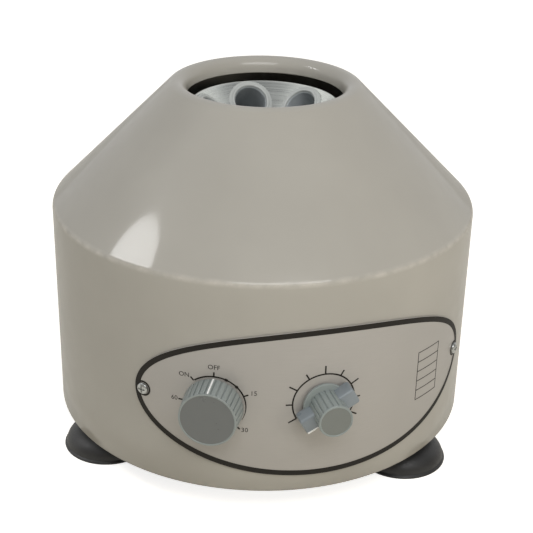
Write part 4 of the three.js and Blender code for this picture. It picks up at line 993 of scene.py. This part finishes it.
class CENTRIFUGE_OT_dish(bpy.types.Operator):
    """Turns the spun dish, bores it for the sleeves and screws it down with its cap nut"""

    bl_idname = "centrifuge.dish"
    bl_label = "Dish"

    def execute(self, context):
        sizes = context.scene.centrifuge_rotor
        metal = spun_metal("spun aluminium", sizes.metal, 0.27, 0.5 * MM)
        slope = tan(sizes.tube_lean)
        rim = sizes.rim_radius - sizes.wall / 2
        rim_height = sizes.rim_height - sizes.wall / 2
        foot = rim_height - rim * slope + sizes.wall / 2 / cos(sizes.tube_lean)
        bend_height = sizes.floor_height + sizes.fillet
        bend = (bend_height - foot) / slope - sizes.fillet / sin(sizes.tube_lean)
        down = degrees(sizes.tube_lean) - 90
        upper = arc(bend, bend_height, sizes.fillet, down, -90, 10)
        under = arc(bend, bend_height, sizes.fillet + sizes.wall, -90, down, 8)
        roll = arc(rim, rim_height, sizes.wall / 2, down, down + 180, 10)
        hole = 4.3 * MM
        profile = (
            [(hole, sizes.floor_height - sizes.wall)]
            + under
            + straight(under[-1], roll[0], 24)
            + roll
            + straight(roll[-1], upper[0], 24)
            + upper
            + [(hole, sizes.floor_height)]
        )
        dish = turned("spun_dish", profile, 216, metal, ring=True)
        drills = []
        drill_radius, drill_reach = 11.4 * MM, 12 * MM
        for index in range(sizes.tube_count):
            drill = cylinder("drill", drill_radius, -drill_reach, drill_reach, 64, metal)
            drills.append(moved(drill, tube_place(sizes, 2 * pi * index / sizes.tube_count)))
        settle(tidy_faces(cut_by(dish, drills), 40), "rotor", "aluminium", "rotor_dish")
        steel = plated_metal("bright turned steel", "#c6c8ca", 0.22)
        profile = mm((4.2, 0), (11.7, 0), (12, 0.3), (12, 1.2), (11.6, 1.5), (4.2, 1.5))
        flange = turned("flange", profile, 96, steel, ring=True)
        flats = moved(hexagon(9.8 * MM, 5.2 * MM, 0.5 * MM, steel), shift(z=1.3 * MM))
        crown = arc(0, 6.5 * MM, 7.6 * MM, 0, 90, 14)[1:-1]
        dome = turned("dome", mm((0, 5), (7.6, 5), (7.6, 6.5)) + crown + [(0, 14.1 * MM)], 72, steel)
        nut = moved(joined("cap_nut", [flange, flats, dome]), shift(z=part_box("rotor_cap_nut")[0].z))
        settle(nut, "rotor", "bright_steel", "rotor_cap_nut")
        return {"FINISHED"}


class CENTRIFUGE_OT_sleeves(bpy.types.Operator):
    """Turns one tube sleeve with its stepped collar and a darker lining that paints the shade deep in its bore, and
    repeats them round the dish
    """

    bl_idname = "centrifuge.sleeves"
    bl_label = "Tube sleeves"

    def execute(self, context):
        sizes = context.scene.centrifuge_rotor
        plastic = moulded_plastic("pale moulded nylon", sizes.sleeve, 0.34)
        outer = sizes.bore + sizes.sleeve_wall
        ball = outer - sizes.sleeve_length
        top = sizes.collar_height
        step = top - 0.9 * MM
        profile = (
            [(0, -sizes.sleeve_length)]
            + arc(0, ball, outer, -90, 0, 12)[1:]
            + [(outer, -2.5 * MM), (sizes.collar_radius, -2.5 * MM)]
            + arc(sizes.collar_radius - 1 * MM, step - 1 * MM, 1 * MM, 0, 90, 6)
            + [(outer + 0.95 * MM, step), (outer + 0.75 * MM, step + 0.15 * MM)]
            + arc(sizes.bore + 0.95 * MM, top - 0.95 * MM, 0.95 * MM, 35, 180, 9)
            + arc(0, ball, sizes.bore, 0, -90, 12)
        )
        # Painted shade: a darker grey lining inside each bore stands in for the shade deep in the bore.
        bore_shade_liner = moulded_rubber("grey rubber with painted bore shade", sizes.bore_shade_liner)
        skin = sizes.bore - HAIR
        face = sizes.bore - 0.4 * MM
        lining = (
            arc(0, ball, skin, -90, 0, 12)
            + [(skin, top - 1.6 * MM), (face, top - 2 * MM)]
            + arc(0, ball, face, 0, -90, 12)
        )
        lining[0], lining[-1] = (0, ball - skin), (0, ball - face)
        pieces = [
            repeated(moved(turned(name, section, 72, finish), tube_place(sizes, 0)), sizes.tube_count, finish)
            for name, section, finish in (("sleeve", profile, plastic), ("lining", lining, bore_shade_liner))
        ]
        nodes = [f"tube_sleeve_{index + 1}" for index in range(sizes.tube_count)]
        settle(joined("tube_sleeves", pieces), "rotor", "sleeve_plastic", *nodes)
        return {"FINISHED"}


class CENTRIFUGE_OT_base(bpy.types.Operator):
    """Makes the slotted base plate and the three domed rubber feet"""

    bl_idname = "centrifuge.base"
    bl_label = "Base and feet"

    def execute(self, context):
        sizes = context.scene.centrifuge_feet
        black = plated_metal("black painted sheet steel", "#3a3a3c", 0.45, 0.5)
        thickness = plate_high.z - plate_low.z
        radius = plate_high.x
        pressed_ring = mm((15, 0), (15.3, 0.6), (17.7, 0.6), (18, 0))
        rim = [(radius - 0.3 * MM, 0), (radius, 0.3 * MM), (radius, thickness)]
        disc = turned("base_disc", [(0, 0)] + pressed_ring + rim + [(0, thickness)], 216, black)
        slots = []
        first_slot, slot_circle = -49.3, 81.5 * MM
        for index in range(6):
            slot = rounded_bar("slot", 18 * MM, 5 * MM, 8 * MM, 2.4 * MM, black, 6)
            slots.append(moved(slot, spin(radians(first_slot + 60 * index)) @ shift(0, -slot_circle, -2.5 * MM)))
        settle(tidy_faces(cut_by(disc, slots), 40), "cabinet", "black_steel", "base_plate")
        rubber = moulded_rubber("moulded black rubber", sizes.rubber)
        inner = sizes.radius - 2.2 * MM
        neck = 10 * MM
        reach = sizes.radius - 1.2 * MM - neck
        top = sizes.height - 0.3 * MM
        profile = (
            [(inner * sin(turn), 6 * MM * cos(turn)) for turn in angles(0, 90, 14)]
            + arc(sizes.radius - 0.9 * MM, 0.9 * MM, 0.9 * MM, -90, 60, 8)
            + arc(neck, 2.2 * MM, reach, 0, 90, 14, 11.2 * MM)
            + [(neck, top - 1 * MM), (neck - 1 * MM, top), (0, top)]
        )
        foot = turned("rubber_feet", profile, 96, rubber, sharp=30)
        moved(foot, shift(0, -sizes.circle, -sizes.height))
        settle(repeated(foot, sizes.count, rubber, sizes.first), "cabinet", "rubber", "foot_1", "foot_2", "foot_3")
        return {"FINISHED"}


class CENTRIFUGE_OT_rear(bpy.types.Operator):
    """Turns the cord gland and the fuse holder in the rear wall"""

    bl_idname = "centrifuge.rear"
    bl_label = "Rear fittings"

    def execute(self, context):
        drum = context.scene.centrifuge_housing.drum_radius
        rubber = moulded_rubber("black gland rubber", "#262626")
        back = drum + 0.3 * MM
        profile = (
            mm((4, -6), (7, -6), (7, -3), (6, -3), up=drum)
            + mm((6, -0.6), (9.6, -0.6), up=back)
            + arc(9 * MM, back + 1.2 * MM, 1 * MM, 0, 80, 5)
            + arc(5.2 * MM, back + 2.4 * MM, 0.6 * MM, 60, 180, 6)
        )
        gland = turned("rear_gland", profile, 64, rubber, ring=True)
        settle(moved(gland, wall_frame(GLAND_ANGLE, REAR_HEIGHT)), "cabinet", "rubber", "cord_gland")
        plastic = moulded_plastic("black moulded phenolic", "#232325", 0.38)
        cap = back + 8 * MM
        profile = (
            mm((0, -26), (6.4, -26), (6.4, -0.6), (9, -0.6), up=back)
            + arc(8.4 * MM, back + 1.4 * MM, 0.6 * MM, 0, 90, 4)
            + mm((7.2, 2), (7, 2.4), up=back)
            + arc(6.2 * MM, cap - 0.8 * MM, 0.8 * MM, 0, 90, 5)
            + [(0, cap)]
        )
        holder = turned("rear_fuse_holder", profile, 64, plastic)
        slot = moved(rounded_bar("slot", 15 * MM, 1.4 * MM, 4 * MM, 0.3 * MM, plastic, 2), shift(z=cap - 1.2 * MM))
        moved(tidy_faces(cut_by(holder, [slot])), wall_frame(HOLDER_ANGLE, REAR_HEIGHT))
        settle(holder, "cabinet", "black_plastic", "fuse_holder")
        return {"FINISHED"}


class CENTRIFUGE_OT_inner_finishes(bpy.types.Operator):
    """Gives the parts that keep their own shape their finishes"""

    bl_idname = "centrifuge.inner_finishes"
    bl_label = "Inner finishes"

    def execute(self, context):
        finishes = {
            "zinc": plated_metal("zinc plated steel", "#b4b6b4", 0.34),
            "rubber": moulded_rubber("black mount rubber", "#2d2d2d"),
            "aluminium": plated_metal("bare rolled aluminium", "#b6bcbc", 0.34),
            "black_steel": plated_metal("black enamelled steel", "#3a3a3c", 0.48, 0.5),
            "bright_steel": plated_metal("ground steel", "#c4c6c8", 0.22),
            "copper": plated_metal("drawn copper", "#b87048", 0.34),
            "grey_plastic": moulded_plastic("inner grey ABS", "#8c9492", 0.4),
            "blue_grey_plastic": moulded_plastic("inner blue grey ABS", "#7d8285", 0.36),
            "sleeve_plastic": moulded_plastic("inner nylon", "#bbbcb6", 0.4),
            "black_plastic": moulded_plastic("inner black nylon", "#242426", 0.45),
            "board_green": circuit_board("#2f6b45"),
            "housing_paint": painted_steel("#a7a49b"),
            "panel": satin_panel("#a8a69f"),
        }
        for node in frame["nodes"].values():
            for place in node.material_slots:
                place.material = finishes[place.material.name.split(".")[0]]
        return {"FINISHED"}


def seen_rays(tree, gloss_share):
    """1 for the rays of the camera and of glass, a share of that for reflections, and 0 for all others."""
    paths = add_node(tree, "ShaderNodeLightPath")
    gloss = maths(tree, "MULTIPLY", paths["Is Glossy Ray"], gloss_share)
    seen = maths(tree, "MAXIMUM", paths["Is Camera Ray"], gloss)
    return maths(tree, "MAXIMUM", seen, paths["Is Transmission Ray"])


def bare_tree(owner):
    """The emptied node tree of a material or a world."""
    owner.use_nodes = True
    owner.node_tree.nodes.clear()
    return owner.node_tree


class CENTRIFUGE_OT_stage(bpy.types.Operator):
    """Lays the pale floor, sets the lamps, the room's light and the camera"""

    bl_idname = "centrifuge.stage"
    bl_label = "Stage"

    def execute(self, context):
        sizes = context.scene.centrifuge_stage
        scene = context.scene
        self.floor(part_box("foot_1")[0].z)
        self.room(scene, sizes.room)
        self.lamp("front lamp", (-0.08, -0.92, 1.06), (0, 0, 0.1), 1, 0.5, sizes.front)
        window = self.lamp(
            "window lamp", (-1.033, 0.158, 1.008), (-0.137, -0.065, 0.093), 0.486, 0.18, sizes.left, 35.9
        )
        window.data.shape = "ELLIPSE"
        right = self.lamp("right lamp", (0.67, -1.05, 0.44), (0, 0, 0.08), 0.3, 0.3, sizes.right)
        right.data.color = (1, 0.94, 0.85)
        right.visible_glossy = False
        camera = bpy.data.cameras.new("camera")
        camera.lens = sizes.lens
        camera.sensor_width = 36
        camera.clip_start = 0.01
        eye = new_object("camera", camera)
        eye.matrix_world = Matrix.Translation(sizes.place) @ Euler(sizes.turn).to_matrix().to_4x4()
        scene.camera = eye
        scene.view_settings.view_transform = "Standard"
        return {"FINISHED"}

    def floor(self, height):
        """A wide pale floor that keeps the object's shadow and is white to the eye away from it. Gloss sees less of
        its glow, because it looks at the floor near the object, which the lamps already make white."""
        mesh = bmesh.new()
        bmesh.ops.create_grid(mesh, x_segments=8, y_segments=8, size=6)
        bmesh.ops.translate(mesh, verts=mesh.verts, vec=(0, 0, height - 0.02 * MM))
        material = bpy.data.materials.new("pale floor")
        tree = bare_tree(material)
        glow_level, gloss_share = 0.8, 0.4
        glow = maths(tree, "MULTIPLY", seen_rays(tree, gloss_share), glow_level)
        light = output_of(tree, "ShaderNodeEmission", {"Strength": glow})
        paint = output_of(tree, "ShaderNodeBsdfDiffuse", {"Color": (0.82, 0.78, 0.68, 1)})
        both = output_of(tree, "ShaderNodeAddShader", {0: light, 1: paint})
        add_node(tree, "ShaderNodeOutputMaterial", {"Surface": both})
        object_from("floor", mesh, material)

    def room(self, scene, level):
        """Soft light from all round, warmer low down; the eye and glass see it white, and gloss does at the back."""
        scene.world = bpy.data.worlds.new("studio")
        tree = bare_tree(scene.world)
        way = axes(tree, output_of(tree, "ShaderNodeTexCoord", output="Generated"))
        backdrop = ranged(tree, way["Y"], -0.2, 0.25, 0, 1, interpolation_type="SMOOTHSTEP")
        seen = seen_rays(tree, backdrop)
        tint = blended(tree, ranged(tree, way["Z"], 0, 0.6, 0, 1), "#ffefd2", "#fafbff")
        inputs = {"Strength": ranged(tree, seen, 0, 1, level, 1), "Color": blended(tree, seen, tint, "#ffffff")}
        light = output_of(tree, "ShaderNodeBackground", inputs)
        add_node(tree, "ShaderNodeOutputWorld", {"Surface": light})

    def lamp(self, name, place, aim, width, height, watts, roll=0):
        """A rectangular lamp that points at a place and is turned about that line by a roll in degrees."""
        light = bpy.data.lights.new(name, "AREA")
        light.shape = "RECTANGLE"
        light.size = width
        light.size_y = height
        light.energy = watts
        lamp = new_object(name, light)
        way = Vector(aim) - Vector(place)
        turn = way.to_track_quat("-Z", "Y").to_matrix().to_4x4() @ spin(radians(roll))
        lamp.matrix_world = Matrix.Translation(place) @ turn
        return lamp


class CENTRIFUGE_PT_panel(bpy.types.Panel):
    bl_label = "Bench centrifuge"
    bl_idname = "CENTRIFUGE_PT_panel"
    bl_space_type = "VIEW_3D"
    bl_region_type = "UI"
    bl_category = "Centrifuge"

    def draw(self, context):
        for name, _, operators in SECTIONS:
            box = self.layout.box()
            if name:
                settings = getattr(context.scene, name)
                for size in settings.__annotations__:
                    box.prop(settings, size)
            for operator in operators:
                box.operator(operator.bl_idname)


SECTIONS = (
    ("centrifuge_housing", HousingProperties, [CENTRIFUGE_OT_housing]),
    ("centrifuge_panel", PanelProperties, [CENTRIFUGE_OT_panel, CENTRIFUGE_OT_screws]),
    ("centrifuge_timer", TimerProperties, [CENTRIFUGE_OT_timer_dial]),
    ("centrifuge_speed", SpeedProperties, [CENTRIFUGE_OT_speed_dial]),
    ("centrifuge_rotor", RotorProperties, [CENTRIFUGE_OT_dish, CENTRIFUGE_OT_sleeves]),
    ("centrifuge_feet", FootProperties, [CENTRIFUGE_OT_base]),
    (None, None, [CENTRIFUGE_OT_rear, CENTRIFUGE_OT_inner_finishes]),
    ("centrifuge_stage", StageProperties, [CENTRIFUGE_OT_stage]),
)
GROUPS = {name: group for name, group, _ in SECTIONS if name}
OPERATORS = [operator for *_, operators in SECTIONS for operator in operators]
CLASSES = [*GROUPS.values(), *OPERATORS, CENTRIFUGE_PT_panel]


def register():
    for kind in CLASSES:
        bpy.utils.register_class(kind)
    for name, group in GROUPS.items():
        setattr(bpy.types.Scene, name, PointerProperty(type=group))


def unregister():
    for name in GROUPS:
        delattr(bpy.types.Scene, name)
    for kind in reversed(CLASSES):
        bpy.utils.unregister_class(kind)


def main():
    register()
    for operator in OPERATORS:
        family, name = operator.bl_idname.split(".")
        getattr(getattr(bpy.ops, family), name)()


if __name__ == "__main__":
    main()
